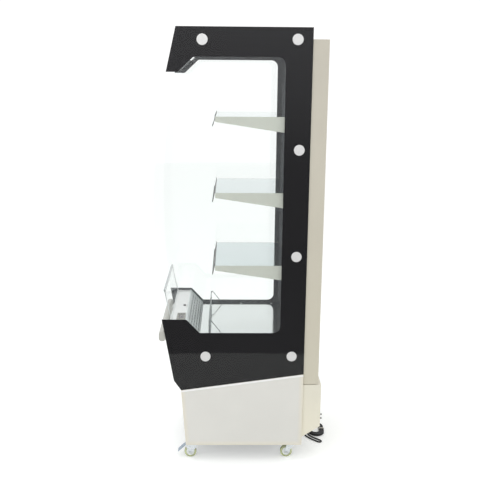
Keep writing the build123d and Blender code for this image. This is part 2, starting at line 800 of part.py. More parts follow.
# Base tray that carries the machinery and the castors
with BuildPart() as base_tray:
    with BuildSketch(Plane.XY.offset(castor_height)):
        with Locations((0, (tray_front + tray_rear) / 2)):
            Rectangle(2 * tray_half, tray_rear - tray_front)
    extrude(amount=tray_rise)
    with BuildSketch(Plane.XY.offset(castor_height + 2)):
        with Locations((0, (tray_front + tray_rear) / 2)):
            Rectangle(2 * tray_half - 4, tray_rear - tray_front - 4)
    extrude(amount=tray_rise, mode=Mode.SUBTRACT)
save(base_tray, "base_tray")
tray_floor = castor_height + 2

# Castor top plates with the swivel race
plate_size = 50.0
plate_thick = 2.5
race_dia = 34.0
race_low = castor_height - plate_thick - 3
kingpin_dia = 10.0
castors = {
    "front_left": (-castor_x, castor_front_y),
    "front_right": (castor_x, castor_front_y),
    "rear_left": (-castor_x, castor_rear_y),
    "rear_right": (castor_x, castor_rear_y),
}
with BuildPart() as castor_plates:
    with BuildSketch(Plane.XY.offset(castor_height)):
        with Locations(*castors.values()):
            RectangleRounded(plate_size, plate_size, 5)
    extrude(amount=-plate_thick)
    with BuildSketch(Plane.XY.offset(castor_height - plate_thick)):
        with Locations(*castors.values()):
            Circle(race_dia / 2)
    extrude(amount=race_low - castor_height + plate_thick)
    with BuildSketch(Plane.XY.offset(castor_height)):
        with Locations(*castors.values()):
            Circle(kingpin_dia / 2)
    extrude(amount=race_low - castor_height, mode=Mode.SUBTRACT)
save(castor_plates, "castor_plates")

# Castor forks, wheels and brake pedals
wheel_z = wheel_dia / 2
leg_inner = wheel_width / 2 + 1.2
leg_thick = 2.0
crown_top = race_low - seat
crown_low = wheel_dia + 8.0
pedal_pin = (-castor_trail - 15.0, 54.0)
pedal_pin_dia = 4.0
pedal_hub = 8.0
pedal_wide = 28.0


def fork(x, y, braked):
    """Pressed fork with its kingpin and axle; a braked one also carries the pedal pin."""
    leg = [
        (y + 15, crown_top),
        (y - 14, crown_top),
        (y - castor_trail - 7, wheel_z + 4),
        (y - castor_trail - 5, wheel_z - 6),
        (y - castor_trail + 5, wheel_z - 6),
        (y + 12, crown_low - 3),
    ]
    if braked:
        leg[1:3] = [
            (y - 14, crown_top),
            (y + pedal_pin[0] - 2, pedal_pin[1] + 4.5),
            (y + pedal_pin[0] - 4, pedal_pin[1] - 4),
            (y - castor_trail - 7, wheel_z + 4),
        ]
    with BuildPart() as piece:
        for inner in (x + leg_inner, x - leg_inner - leg_thick):
            with BuildSketch(Plane.YZ.offset(inner)):
                with BuildLine():
                    Polyline(*leg, close=True)
                make_face()
            extrude(amount=leg_thick)
        with BuildSketch(Plane.XY.offset(crown_low)):
            with Locations((x, y)):
                Rectangle(2 * (leg_inner + leg_thick), 24)
        extrude(amount=crown_top - crown_low)
        with BuildSketch(Plane.XY.offset(crown_top - 2.5)):
            with Locations((x, y)):
                Circle(race_dia / 2 + 1)
        extrude(amount=2.5)
        with BuildSketch(Plane.XY.offset(crown_top - 1)):
            with Locations((x, y)):
                Circle(kingpin_dia / 2 - shaft_gap)
        extrude(amount=castor_height - 1 - crown_top)
        with BuildSketch(Plane.YZ.offset(x)):
            with Locations((y - castor_trail, wheel_z)):
                Circle(axle_dia / 2)
        extrude(amount=leg_inner + leg_thick + 2.5, both=True)
        if braked:
            with BuildSketch(Plane.YZ.offset(x)):
                with Locations((y + pedal_pin[0], pedal_pin[1])):
                    Circle(pedal_pin_dia / 2)
            extrude(amount=leg_inner + leg_thick + 1, both=True)
    return piece


for place, (x, y) in castors.items():
    save(fork(x, y, place.startswith("front")), f"fork_{place}")
    with BuildPart() as wheel:
        with BuildSketch(Plane.YZ.offset(x - wheel_width / 2)):
            with Locations((y - castor_trail, wheel_z)):
                Circle(wheel_dia / 2)
                Circle(axle_dia / 2 + shaft_gap, mode=Mode.SUBTRACT)
        extrude(amount=wheel_width)
        tread = wheel.edges().filter_by(GeomType.CIRCLE)
        fillet(tread.filter_by(lambda e: e.radius > wheel_dia / 2 - 0.1), 3.0)
        for face_x, inward in ((x - wheel_width / 2, 1), (x + wheel_width / 2, -1)):
            with BuildSketch(Plane.YZ.offset(face_x)):
                with Locations((y - castor_trail, wheel_z)):
                    Circle(wheel_dia / 2 - 7)
                    Circle(axle_dia / 2 + 4, mode=Mode.SUBTRACT)
            extrude(amount=inward * 3, mode=Mode.SUBTRACT)
    save(wheel, f"wheel_{place}")

for place, (x, y) in castors.items():
    if place.startswith("rear"):
        continue
    pin_y = y + pedal_pin[0]
    pin_z = pedal_pin[1]
    with BuildPart() as pedal:
        with BuildSketch(Plane.YZ.offset(x)):
            with Locations((pin_y, pin_z)):
                Circle(pedal_hub / 2)
        extrude(amount=leg_inner - 0.6, both=True)
        with BuildSketch(Plane.YZ.offset(x)):
            with BuildLine():
                Polyline(
                    (pin_y, pin_z + 3.8),
                    (pin_y - 6, pin_z + 4.5),
                    (pin_y - 37, pin_z - 25),
                    (pin_y - 35.5, pin_z - 27),
                    (pin_y - 5, pin_z + 1.5),
                    (pin_y, pin_z - 1),
                    close=True,
                )
            make_face()
        extrude(amount=leg_inner - 0.6, both=True)
        with BuildSketch(Plane.YZ.offset(x)):
            with BuildLine():
                Polyline(
                    (pin_y - 8, pin_z + 2.6),
                    (pin_y - 37, pin_z - 25),
                    (pin_y - 35.5, pin_z - 27),
                    (pin_y - 6.5, pin_z + 0.6),
                    close=True,
                )
            make_face()
        extrude(amount=pedal_wide / 2, both=True)
        with BuildSketch(Plane.YZ.offset(x)):
            with Locations((pin_y, pin_z)):
                Circle(pedal_pin_dia / 2 + shaft_gap)
        extrude(amount=leg_inner + 2, both=True, mode=Mode.SUBTRACT)
    save(pedal, f"brake_pedal_{place}")

# Evaporator: finned coil on the sloping floor of the tub
evap_half = 165.0
evap_front = -45.0
evap_rear = 150.0
evap_low = glass_bottom(evap_rear) + foam + 8
evap_high = tub_rim - 12
fin_pitch = 15.0
fin_count = int(2 * evap_half / fin_pitch) + 1
tube_rows = [(-20.0, evap_low + 25), (25.0, evap_low + 25), (80.0, evap_low + 25), (125.0, evap_low + 25)]
tube_rows += [(y, evap_high - 25) for y in (-20.0, 25.0, 80.0, 125.0)]
with BuildPart() as evaporator:
    mid_y = (evap_front + evap_rear) / 2
    mid_z = (evap_low + evap_high) / 2
    with Locations((0, mid_y, mid_z)):
        with GridLocations(fin_pitch, 1, fin_count, 1):
            Box(0.8, evap_rear - evap_front, evap_high - evap_low)
    with BuildSketch(Plane.YZ):
        with Locations(*tube_rows):
            Circle(5)
    extrude(amount=evap_half + 10, both=True)
    for x in (-evap_half - 8, evap_half + 6):
        with BuildSketch(Plane.YZ.offset(x)):
            with BuildLine():
                Polyline(
                    (evap_front, glass_bottom(evap_front) + foam + seat),
                    (evap_rear, glass_bottom(evap_rear) + foam + seat),
                    (evap_rear, evap_high),
                    (evap_front, evap_high),
                    close=True,
                )
            make_face()
        extrude(amount=2)
save(evaporator, "evaporator")


def rotor(x, y, z, diameter, hub, depth, blades, shaft_dia, shaft_len):
    """Axial fan on a shaft that points to +Y."""
    blade_root = hub / 2 - 2
    with BuildPart() as piece:
        with BuildSketch(Plane.XZ.offset(-y)):
            with Locations((x, z)):
                Circle(hub / 2)
        extrude(amount=depth / 2, both=True)
        for k in range(blades):
            turn = 2 * pi * k / blades
            radial = (cos(turn), 0, sin(turn))
            tangent = (-sin(turn), 0, cos(turn))
            pitch = radians(28)
            chord_dir = (tangent[0] * cos(pitch), sin(pitch), tangent[2] * cos(pitch))
            root = (x + radial[0] * blade_root, y, z + radial[2] * blade_root)
            with BuildSketch(Plane(origin=root, x_dir=chord_dir, z_dir=radial)):
                RectangleRounded(depth * 1.5, 2.2, 1)
            extrude(amount=diameter / 2 - blade_root)
        with BuildSketch(Plane.XZ.offset(-y)):
            with Locations((x, z)):
                Circle(shaft_dia / 2)
        extrude(amount=-depth / 2 - shaft_len)
    return piece


# Evaporator fan and the bulkhead that carries its motor
evap_fan_y = -118.0
evap_fan_z = 466.0
evap_fan_dia = 130.0
bulkhead_y = -104.0
fan_shaft = 8.0
motor_dia = 44.0
save(rotor(0, evap_fan_y, evap_fan_z, evap_fan_dia, 36, 16, 5, fan_shaft, 22), "evaporator_fan")
with BuildPart() as fan_bulkhead:
    with BuildSketch(Plane.XZ.offset(-bulkhead_y)):
        low = glass_bottom(bulkhead_y) + foam + seat
        high = tub_rim - 1
        with Locations((0, (low + high) / 2)):
            Rectangle(2 * (duct_half - seat), high - low)
        with Locations((0, evap_fan_z)):
            Circle(evap_fan_dia / 2 + 2, mode=Mode.SUBTRACT)
            Rectangle(evap_fan_dia + 8, 8)
            Circle(motor_dia / 2)
    extrude(amount=sheet)
    with BuildSketch(Plane.XZ.offset(-bulkhead_y)):
        with Locations((0, evap_fan_z)):
            Circle(motor_dia / 2)
    extrude(amount=-26)
    with BuildSketch(Plane.XZ.offset(-bulkhead_y + sheet + 1)):
        with Locations((0, evap_fan_z)):
            Circle(fan_shaft / 2 + shaft_gap)
    extrude(amount=-26, mode=Mode.SUBTRACT)
save(fan_bulkhead, "fan_bulkhead")

# Condenser: finned coil behind the base front grille
cond_half = 150.0
cond_front = -196.0
cond_rear = -160.0
cond_low = tray_floor + seat
cond_high = 286.0
cond_rows = [(cond_front + 18, cond_low + 25 + i * 40.0) for i in range(5)]
with BuildPart() as condenser:
    with Locations((0, (cond_front + cond_rear) / 2, (cond_low + cond_high) / 2)):
        with GridLocations(12.5, 1, 25, 1):
            Box(0.8, cond_rear - cond_front, cond_high - cond_low)
    with BuildSketch(Plane.YZ):
        with Locations(*cond_rows):
            Circle(4.5)
    extrude(amount=cond_half, both=True)
save(condenser, "condenser")

# Condenser fan, with the shroud that carries its motor
cond_fan_y = -136.0
cond_fan_z = 182.0
cond_fan_dia = 180.0
shroud_y = -158.0
cond_motor_dia = 70.0
cond_motor_front = -118.0
save(rotor(0, cond_fan_y, cond_fan_z, cond_fan_dia, 46, 20, 5, fan_shaft, 30), "condenser_fan")
with BuildPart() as condenser_shroud:
    with BuildSketch(Plane.XZ.offset(-shroud_y)):
        with Locations((0, (cond_low + cond_high) / 2)):
            Rectangle(2 * cond_half, cond_high - cond_low)
        with Locations((0, cond_fan_z)):
            Circle(cond_fan_dia / 2 + 4, mode=Mode.SUBTRACT)
    extrude(amount=-sheet)
    with BuildSketch(Plane.XZ.offset(-shroud_y)):
        with Locations((0, cond_fan_z)):
            Circle(cond_fan_dia / 2 + 6)
            Circle(cond_fan_dia / 2 + 4, mode=Mode.SUBTRACT)
    extrude(amount=-42)
    with BuildSketch(Plane.XZ.offset(-cond_motor_front)):
        with Locations((0, cond_fan_z)):
            Rectangle(cond_fan_dia + 10, 12)
            Rectangle(12, cond_fan_dia + 10)
    extrude(amount=-2)
    with BuildSketch(Plane.XZ.offset(-cond_motor_front)):
        with Locations((0, cond_fan_z)):
            Circle(cond_motor_dia / 2)
    extrude(amount=-46)
    with BuildSketch(Plane.XZ.offset(-cond_motor_front + 1)):
        with Locations((0, cond_fan_z)):
            Circle(fan_shaft / 2 + shaft_gap)
    extrude(amount=-34, mode=Mode.SUBTRACT)
save(condenser_shroud, "condenser_shroud")

# Compressor: hermetic shell on rubber feet
comp_xy = (-70.0, 60.0)
comp_dia = 136.0
comp_shell_low = tray_floor + 15
comp_shell_high = tray_floor + 175
with BuildPart() as compressor:
    with BuildSketch(Plane.XY.offset(comp_shell_low)):
        with Locations(comp_xy):
            Circle(comp_dia / 2)
    extrude(amount=comp_shell_high - comp_shell_low)
    fillet(compressor.faces().sort_by(Axis.Z)[-1].edges(), 42)
    fillet(compressor.faces().sort_by(Axis.Z)[0].edges(), 20)
    with BuildSketch(Plane.XY.offset(tray_floor + 12)):
        with Locations(comp_xy):
            RectangleRounded(180, 110, 12)
    extrude(amount=4)
    with BuildSketch(Plane.XY.offset(tray_floor)):
        with Locations(comp_xy):
            with GridLocations(152, 84, 2, 2):
                Circle(11)
    extrude(amount=12)
    with BuildSketch(Plane.XY.offset(tray_floor + 16)):
        with Locations((comp_xy[0], comp_xy[1] + comp_dia / 2 + 8)):
            RectangleRounded(56, 40, 5)
    extrude(amount=70)
save(compressor, "compressor")

# Refrigerant pipes: suction, discharge and liquid line
side_x = comp_xy[0] + comp_dia / 2
pipe_bend = 14.0
pipe_end_z = evap_low - 0.5
pipe_routes = [
    [(side_x + 0.1, comp_xy[1], 180), (suction_xy[0], comp_xy[1], 180), (*suction_xy, pipe_end_z)],
    [
        (comp_xy[0] - comp_dia / 2 - 0.1, comp_xy[1], 150),
        (-cond_half - 22, comp_xy[1], 150),
        (-cond_half - 22, cond_front + 18, 150),
        (-cond_half - 0.5, cond_front + 18, 150),
    ],
    [
        (cond_half + 0.5, cond_front + 18, 200),
        (cond_half + 24, cond_front + 18, 200),
        (cond_half + 24, liquid_xy[1], 200),
        (liquid_xy[0], liquid_xy[1], 200),
        (*liquid_xy, pipe_end_z),
    ],
]
with BuildPart() as refrigerant_pipes:
    for route in pipe_routes:
        with BuildLine():
            pipe_path = FilletPolyline(*route, radius=pipe_bend)
        with BuildSketch(Plane(origin=pipe_path @ 0, z_dir=pipe_path % 0)):
            Circle(pipe_dia / 2)
        sweep()
save(refrigerant_pipes, "refrigerant_pipes")

# Drain tray that lets the defrost water evaporate
drain_size = (170.0, 120.0, 40.0)
drain_xy = (115.0, 150.0)
with BuildPart() as drain_tray:
    with BuildSketch(Plane.XY.offset(tray_floor)):
        with Locations(drain_xy):
            RectangleRounded(drain_size[0], drain_size[1], 10)
    extrude(amount=drain_size[2])
    with BuildSketch(Plane.XY.offset(tray_floor + 2)):
        with Locations(drain_xy):
            RectangleRounded(drain_size[0] - 4, drain_size[1] - 4, 8)
    extrude(amount=drain_size[2], mode=Mode.SUBTRACT)
save(drain_tray, "drain_tray")

# Electrical box
elec_xy = (150.0, -55.0)
elec_size = (104.0, 70.0, 62.0)
with BuildPart() as electrical_box:
    with BuildSketch(Plane.XY.offset(tray_floor)):
        with Locations(elec_xy):
            RectangleRounded(elec_size[0], elec_size[1], 4)
    extrude(amount=elec_size[2])
    fillet(electrical_box.faces().sort_by(Axis.Z)[-1].edges(), 2)
save(electrical_box, "electrical_box")

# Cord gland: nut, body and tapered strain relief on the slanted underside
relief_len = 30.0
gland_plane = Plane(origin=gland_spot, x_dir=(1, 0, 0), z_dir=gland_out)
with BuildPart() as cord_gland:
    with BuildSketch(gland_plane.offset(-4)):
        Circle(gland_hole / 2 - 0.2)
    extrude(amount=4.2)
    with BuildSketch(gland_plane.offset(0.2)):
        RegularPolygon(radius=11, side_count=6)
    extrude(amount=6)
    with BuildSketch(gland_plane.offset(6.2)):
        Circle(7.5)
    with BuildSketch(gland_plane.offset(relief_len)):
        Circle(tube_dia / 2 + 1)
    loft()
save(cord_gland, "cord_gland")
cord_start = gland_plane.offset(relief_len + 0.05).origin

# Cord hank: two layers of racetrack loops that spiral in, climb along a run and spiral out
loop_step = 7.6
hank_run = 40.0
hank_mid = (-32.0, 352.0)
hank_low_z = 4.6
half_turns = 5
outer_offset = 38.0
offsets_in = [outer_offset - k * loop_step / 2 for k in range(half_turns + 1)]
run_offsets = offsets_in + offsets_in[-2::-1]
near_x = hank_mid[0] + hank_run / 2
far_x = hank_mid[0] - hank_run / 2


def hank_pieces():
    """Edges of the hank's centre line, from its outer end to its other outer end."""
    pieces = []
    for k, offset_now in enumerate(run_offsets):
        on_front = k % 2 == 0
        y = hank_mid[1] - offset_now if on_front else hank_mid[1] + offset_now
        start_x, end_x = (near_x, far_x) if on_front else (far_x, near_x)
        z = hank_low_z if k <= half_turns else hank_low_z + loop_step
        if k == half_turns:
            mid = ((start_x + end_x) / 2, y, z + loop_step / 2)
            start, end = (start_x, y, z), (end_x, y, z + loop_step)
            ahead = (1, 0, 0) if end_x > start_x else (-1, 0, 0)
            first = TangentArc(start, mid, tangent=ahead, mode=Mode.PRIVATE)
            pieces.append(first)
            pieces.append(TangentArc(mid, end, tangent=first % 1, mode=Mode.PRIVATE))
            z += loop_step
        else:
            pieces.append(Line((start_x, y, z), (end_x, y, z), mode=Mode.PRIVATE))
        if k + 1 < len(run_offsets):
            next_y = hank_mid[1] + run_offsets[k + 1] * (1 if on_front else -1)
            reach = (offset_now + run_offsets[k + 1]) / 2
            bulge_x = end_x - reach if on_front else end_x + reach
            mid_y = (y + next_y) / 2
            turn = ThreePointArc((end_x, y, z), (bulge_x, mid_y, z), (end_x, next_y, z), mode=Mode.PRIVATE)
            pieces.append(turn)
    return pieces


hank_edges = hank_pieces()
hank_wire = Wire(hank_edges)
with BuildPart() as cord_hank:
    with BuildSketch(Plane(origin=hank_wire @ 0, z_dir=hank_wire % 0)):
        Circle(tube_dia / 2)
    sweep(path=hank_wire)
save(cord_hank, "cord_hank")

# Mains lead from the gland to the hank, and from the hank to the plug
hank_start = (near_x, hank_mid[1] - outer_offset, hank_low_z)
hank_end = (far_x, hank_mid[1] - outer_offset, hank_low_z + loop_step)
floor_z = tube_dia / 2 + 0.1
plug_entry = (-104.0, 316.0, 19.0)
lead_points = [
    tuple(cord_start),
    (-60.0, 328.0, 86.0),
    (-60.0, 330.0, 58.0),
    (-54.0, 318.0, 32.0),
    (-36.0, 301.0, 12.0),
    (-8.0, 296.0, floor_z),
    (20.0, 302.0, floor_z),
    (46.0, 320.0, floor_z),
    (67.0, 343.0, floor_z),
    (80.0, 358.0, floor_z),
    (69.0, 371.0, floor_z),
    (50.0, 351.0, floor_z),
    (30.0, 327.0, floor_z),
    (9.0, hank_start[1], hank_low_z),
    hank_start,
]
tail_points = [
    hank_end,
    (-70.0, hank_end[1], hank_end[2]),
    (-87.0, plug_entry[1], plug_entry[2]),
    plug_entry,
]


def corner_radii(points):
    """Largest smooth radius at each corner: 0.45 of the shorter run over the tangent of half the turn."""
    radii = []
    for a, b, c in zip(points, points[1:], points[2:]):
        before = Vector(*b) - Vector(*a)
        after = Vector(*c) - Vector(*b)
        half_turn = radians(before.get_angle(after)) / 2
        radii.append(0.45 * min(before.length, after.length) / tan(half_turn))
    return radii


with BuildPart() as power_cord:
    for points in (lead_points, tail_points):
        radii = corner_radii(points)
        print("cord arc radii", [round(r, 1) for r in radii])
        with BuildLine():
            cord_path = FilletPolyline(*points, radius=radii)
        print("cord stretch", round(cord_path.length, 1))
        with BuildSketch(Plane(origin=cord_path @ 0, z_dir=cord_path % 0)):
            Circle(tube_dia / 2)
        sweep(path=cord_path)
save(power_cord, "power_cord")

# Cord tie: strap round the strands on the rear side of the hank
strap = 0.8
tie_x = far_x + 22.0
tie_in_y = hank_mid[1] + offsets_in[-1] - tube_dia / 2 - seat
tie_out_y = hank_mid[1] + offsets_in[1] + tube_dia / 2 + seat
tie_top = hank_low_z + loop_step + tube_dia / 2 + seat
with BuildPart() as cord_tie:
    with BuildSketch(Plane.YZ.offset(tie_x)):
        with Locations(((tie_in_y + tie_out_y) / 2, (strap + tie_top) / 2)):
            RectangleRounded(tie_out_y - tie_in_y + 2 * strap, tie_top - strap + 2 * strap, 2)
            RectangleRounded(tie_out_y - tie_in_y, tie_top - strap, 1.2, mode=Mode.SUBTRACT)
    extrude(amount=6)
save(cord_tie, "cord_tie")

# Mains plug: round moulded body with two pins, lying on the floor
plug_axis = Plane(origin=(plug_entry[0] - 0.05, plug_entry[1], plug_entry[2]), x_dir=(0, 1, 0), z_dir=(-1, 0, 0))
plug_neck = 24.0
plug_body = 34.0
plug_dia = 37.0
pin_dia = 4.8
with BuildPart() as mains_plug:
    with BuildSketch(plug_axis):
        Circle(tube_dia / 2 + 1)
    with BuildSketch(plug_axis.offset(plug_neck)):
        Circle(8)
    loft()
    with BuildSketch(plug_axis.offset(plug_neck)):
        Circle(plug_dia / 2)
    extrude(amount=plug_body)
    fillet(mains_plug.edges().filter_by(GeomType.CIRCLE).filter_by(lambda e: e.radius > plug_dia / 2 - 0.1), 4)
    with BuildSketch(plug_axis.offset(plug_neck + plug_body)):
        with GridLocations(19, 1, 2, 1):
            Circle(pin_dia / 2)
    extrude(amount=19)
save(mains_plug, "mains_plug")

# Least gap of the hank to itself, measured on points along its centre line
samples = [hank_wire.position_at(i / 900) for i in range(901)]
apart = int(len(samples) * 30 / hank_wire.length)
least = min(
    (samples[i] - samples[j]).length
    for i in range(0, len(samples), 2)
    for j in range(i + apart, len(samples), 2)
)
print("hank length", round(hank_wire.length, 1), "least self gap", round(least - tube_dia, 2))
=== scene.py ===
# %% [markdown]
# # A slim open-fronted chilled display case
# The metal, glass and running gear come from a measured model, so nothing is guessed here about size or place.
# This file adds what a drawing of parts leaves out: finishes, the black border fused to the glass,
# the lead on the floor, and the small fittings that catch the light. Each cell makes one thing.

# %% Load the measured model
import math

import bmesh
import bpy
from mathutils import Matrix, Vector


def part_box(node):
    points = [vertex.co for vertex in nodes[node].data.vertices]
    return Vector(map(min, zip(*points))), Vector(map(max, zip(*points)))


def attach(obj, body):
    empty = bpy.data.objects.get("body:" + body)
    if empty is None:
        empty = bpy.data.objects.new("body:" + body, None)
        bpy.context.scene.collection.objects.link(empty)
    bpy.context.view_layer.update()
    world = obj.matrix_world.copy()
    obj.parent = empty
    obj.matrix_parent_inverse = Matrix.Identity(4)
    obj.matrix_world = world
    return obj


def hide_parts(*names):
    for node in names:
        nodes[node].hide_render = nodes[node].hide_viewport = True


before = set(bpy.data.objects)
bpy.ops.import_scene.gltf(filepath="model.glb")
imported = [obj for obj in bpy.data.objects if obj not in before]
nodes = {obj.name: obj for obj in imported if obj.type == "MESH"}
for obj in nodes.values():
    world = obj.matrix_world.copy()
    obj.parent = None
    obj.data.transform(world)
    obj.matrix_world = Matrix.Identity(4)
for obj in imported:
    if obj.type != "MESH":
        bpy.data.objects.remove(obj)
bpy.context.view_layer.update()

print("nodes in the model", len(nodes))

# %% [markdown]
# ## Camera
# The camera was worked out from the round glass caps and the shelf levels: a moderately long lens,
# some 2.7 metres from the glass, a little above the top shelf and looking slightly down.
# Its three turns are built up from the directions of view, because that keeps the small roll exact.

# %% Camera
VIEWPOINT = Vector((2.904, -0.0495, 1.5575))
YAW, PITCH, ROLL = (math.radians(a) for a in (1.026, 12.823, 0.469))
LENS_MM = 52.935
SENSOR_MM = 36


def camera_turn():
    """Matrix whose columns are the camera's right, up and backward directions."""
    ahead = Vector((-math.cos(YAW), math.sin(YAW), 0))
    right = Vector((math.sin(YAW), math.cos(YAW), 0))
    up = Vector((0, 0, 1))
    down_view = ahead * math.cos(PITCH) - up * math.sin(PITCH)
    tipped_up = up * math.cos(PITCH) + ahead * math.sin(PITCH)
    rolled_right = right * math.cos(ROLL) + tipped_up * math.sin(ROLL)
    rolled_up = tipped_up * math.cos(ROLL) - right * math.sin(ROLL)
    return Matrix((rolled_right, rolled_up, -down_view)).transposed()


camera_data = bpy.data.cameras.new("camera")
camera_data.lens = LENS_MM
camera_data.sensor_width = SENSOR_MM
camera = bpy.data.objects.new("camera", camera_data)
bpy.context.scene.collection.objects.link(camera)
camera.matrix_world = Matrix.Translation(VIEWPOINT) @ camera_turn().to_4x4()
bpy.context.scene.camera = camera
print("camera height", round(camera.location.z, 3))

# %% [markdown]
# ## Small helpers
# Every finished piece has its object at the origin and its place in its mesh, as the model's own parts do.
# These helpers keep that rule in one spot: they turn an edited mesh into a piece that rides with a body,
# carry a flat outline across the width, and round the corners of an outline.

# %% Helpers for pieces
def to_piece(name, mesh, body="case"):
    """Object with this mesh that moves with the named body."""
    piece = bpy.data.objects.new(name, mesh)
    bpy.context.scene.collection.objects.link(piece)
    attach(piece, body)
    return piece


def shaped(name, bm, finishes):
    """Mesh from an edited bmesh, with faces turned outwards and its finishes in order."""
    bmesh.ops.recalc_face_normals(bm, faces=bm.faces)
    mesh = bpy.data.meshes.new(name)
    bm.to_mesh(mesh)
    bm.free()
    for finish in finishes:
        mesh.materials.append(finish)
    return mesh


def smooth(mesh, degrees=35):
    """Shade smooth, with edges sharper than the angle kept crisp."""
    mesh.shade_smooth()
    mesh.set_sharp_from_angle(angle=math.radians(degrees))
    return mesh


def bridged(bm, low, high):
    """Ring of four-sided faces between two loops."""
    around = len(low)
    for k in range(around):
        bm.faces.new((low[k], low[(k + 1) % around], high[(k + 1) % around], high[k]))


def carried(outline, low_x, high_x):
    """Bmesh of a (y, z) outline carried across from low_x to high_x."""
    bm = bmesh.new()
    low, high = ([bm.verts.new((x, y, z)) for y, z in outline] for x in (low_x, high_x))
    bm.faces.new(low)
    bm.faces.new(list(reversed(high)))
    bridged(bm, high, low)
    return bm


def rounded(corners, steps=8):
    """Outline with round corners from (y, z, radius) triples."""
    points = []
    for i, (y, z, radius) in enumerate(corners):
        here = Vector((y, z))
        before = (Vector(corners[i - 1][:2]) - here).normalized()
        after = (Vector(corners[(i + 1) % len(corners)][:2]) - here).normalized()
        if radius == 0:
            points.append((y, z))
            continue
        half = before.angle(after) / 2
        middle = here + (before + after).normalized() * radius / math.sin(half)
        start = here + before * radius / math.tan(half) - middle
        end = here + after * radius / math.tan(half) - middle
        sweep = start.angle_signed(end)
        for k in range(steps + 1):
            turned = start.copy()
            turned.rotate(Matrix.Rotation(-sweep * k / steps, 2))
            points.append(tuple(middle + turned))
    return points


# %% [markdown]
# ## The mains lead
# The lead leaves a gland under the rear cover, drops to the floor, makes the tight bend that shows behind the
# case, and is then folded into a hank with its plug beside it. A cord is one smooth spline:
# a few listed points for the loose part, then points by formula for the folds.

# %% Route of the loose part, in millimetres
LEAD_DIAMETER = 7.0
FLOOR_Z = LEAD_DIAMETER / 2 + 0.1
HANK_MIDDLE = (-32.0, 352.0)
HANK_RUN = 40.0
HANK_LOW_Z = 4.6
LAYER_RISE = 7.6
loose_points = [
    (-60.0, 315.6, 105.4),
    (-60.0, 328.0, 86.0),
    (-60.0, 330.0, 58.0),
    (-54.0, 318.0, 32.0),
    (-36.0, 301.0, 12.0),
    (-8.0, 296.0, FLOOR_Z),
    (20.0, 302.0, FLOOR_Z),
    (46.0, 320.0, FLOOR_Z),
    (67.0, 343.0, FLOOR_Z),
    (80.0, 358.0, FLOOR_Z),
    (69.0, 371.0, FLOOR_Z),
    (50.0, 351.0, FLOOR_Z),
    (30.0, 327.0, FLOOR_Z),
    (9.0, 314.0, HANK_LOW_Z),
]
plug_points = [(-70.0, 314.0, 12.2), (-87.0, 316.0, 19.0), (-104.0, 316.0, 19.0)]

# %% Folds of the hank, by formula
FOLD_STEPS = 6
OUTER_OFFSET = 38.0
OFFSET_STEP = 3.8
ROUNDS_IN = 6
OFFSETS_IN = [OUTER_OFFSET - OFFSET_STEP * k for k in range(ROUNDS_IN)]
RUN_OFFSETS = OFFSETS_IN + OFFSETS_IN[-2::-1]


def hank_points():
    """Points of every run and half turn; those of a half turn lie outside it, so that the spline touches it."""
    near_x = HANK_MIDDLE[0] + HANK_RUN / 2
    far_x = HANK_MIDDLE[0] - HANK_RUN / 2
    half_step = math.pi / FOLD_STEPS / 2
    points = []
    for k, offset in enumerate(RUN_OFFSETS):
        side = -1 if k % 2 == 0 else 1
        y = HANK_MIDDLE[1] + side * offset
        start_x, end_x = (near_x, far_x) if side < 0 else (far_x, near_x)
        heading = 1 if end_x > start_x else -1
        z = HANK_LOW_Z if k < len(OFFSETS_IN) else HANK_LOW_Z + LAYER_RISE
        end_z = HANK_LOW_Z + LAYER_RISE if k >= len(OFFSETS_IN) - 1 else HANK_LOW_Z
        inset_start = 0 if k == 0 else (offset + RUN_OFFSETS[k - 1]) / 2 * math.tan(half_step)
        points.append((start_x + heading * inset_start, y, z))
        if k + 1 == len(RUN_OFFSETS):
            points.append((end_x, y, end_z))
            break
        reach = (offset + RUN_OFFSETS[k + 1]) / 2
        points.append((end_x - heading * reach * math.tan(half_step), y, end_z))
        middle_y = (y + HANK_MIDDLE[1] - side * RUN_OFFSETS[k + 1]) / 2
        for i in range(FOLD_STEPS):
            angle = (2 * i + 1) * half_step
            outside = reach / math.cos(half_step)
            points.append((
                end_x + heading * outside * math.sin(angle),
                middle_y + side * outside * math.cos(angle),
                end_z,
            ))
    return points


lead_points = loose_points + hank_points() + plug_points
print("points along the lead", len(lead_points))

# %% One smooth tube along the route
lead_curve = bpy.data.curves.new("mains_lead", "CURVE")
lead_curve.dimensions = "3D"
lead_spline = lead_curve.splines.new("NURBS")
lead_spline.points.add(len(lead_points) - 1)
for point, place in zip(lead_spline.points, lead_points):
    point.co = (*(v / 1000 for v in place), 1.0)
lead_spline.order_u = 3
lead_spline.use_endpoint_u = True
lead_spline.resolution_u = 5
lead_curve.bevel_depth = LEAD_DIAMETER / 2000
lead_curve.bevel_resolution = 4
lead_curve.use_fill_caps = True
mains_lead = bpy.data.objects.new("mains_lead", lead_curve)
bpy.context.scene.collection.objects.link(mains_lead)
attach(mains_lead, "case")
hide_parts("power_cord", "cord_hank")

# %% [markdown]
# ## Room and light
# The case was photographed on a white sweep under broad soft light. A white world gives the same even light.
# Glossy surfaces see a world that is darker near and below the horizon, as the room behind a camera is:
# that is what keeps black glass black while level metal still mirrors white.

# %% World
scene = bpy.context.scene
scene.view_settings.view_transform = "Standard"
world = bpy.data.worlds.new("studio")
scene.world = world
world.use_nodes = True
AMBIENT = 0.86
MIRRORED = [
    (0.0, 0.45), (0.30, 0.42), (0.38, 0.40), (0.44, 0.46),
    (0.50, 0.80), (0.54, 1.0), (0.60, 1.05), (1.0, 1.0),
]
SEEN_WHITE = 1.08


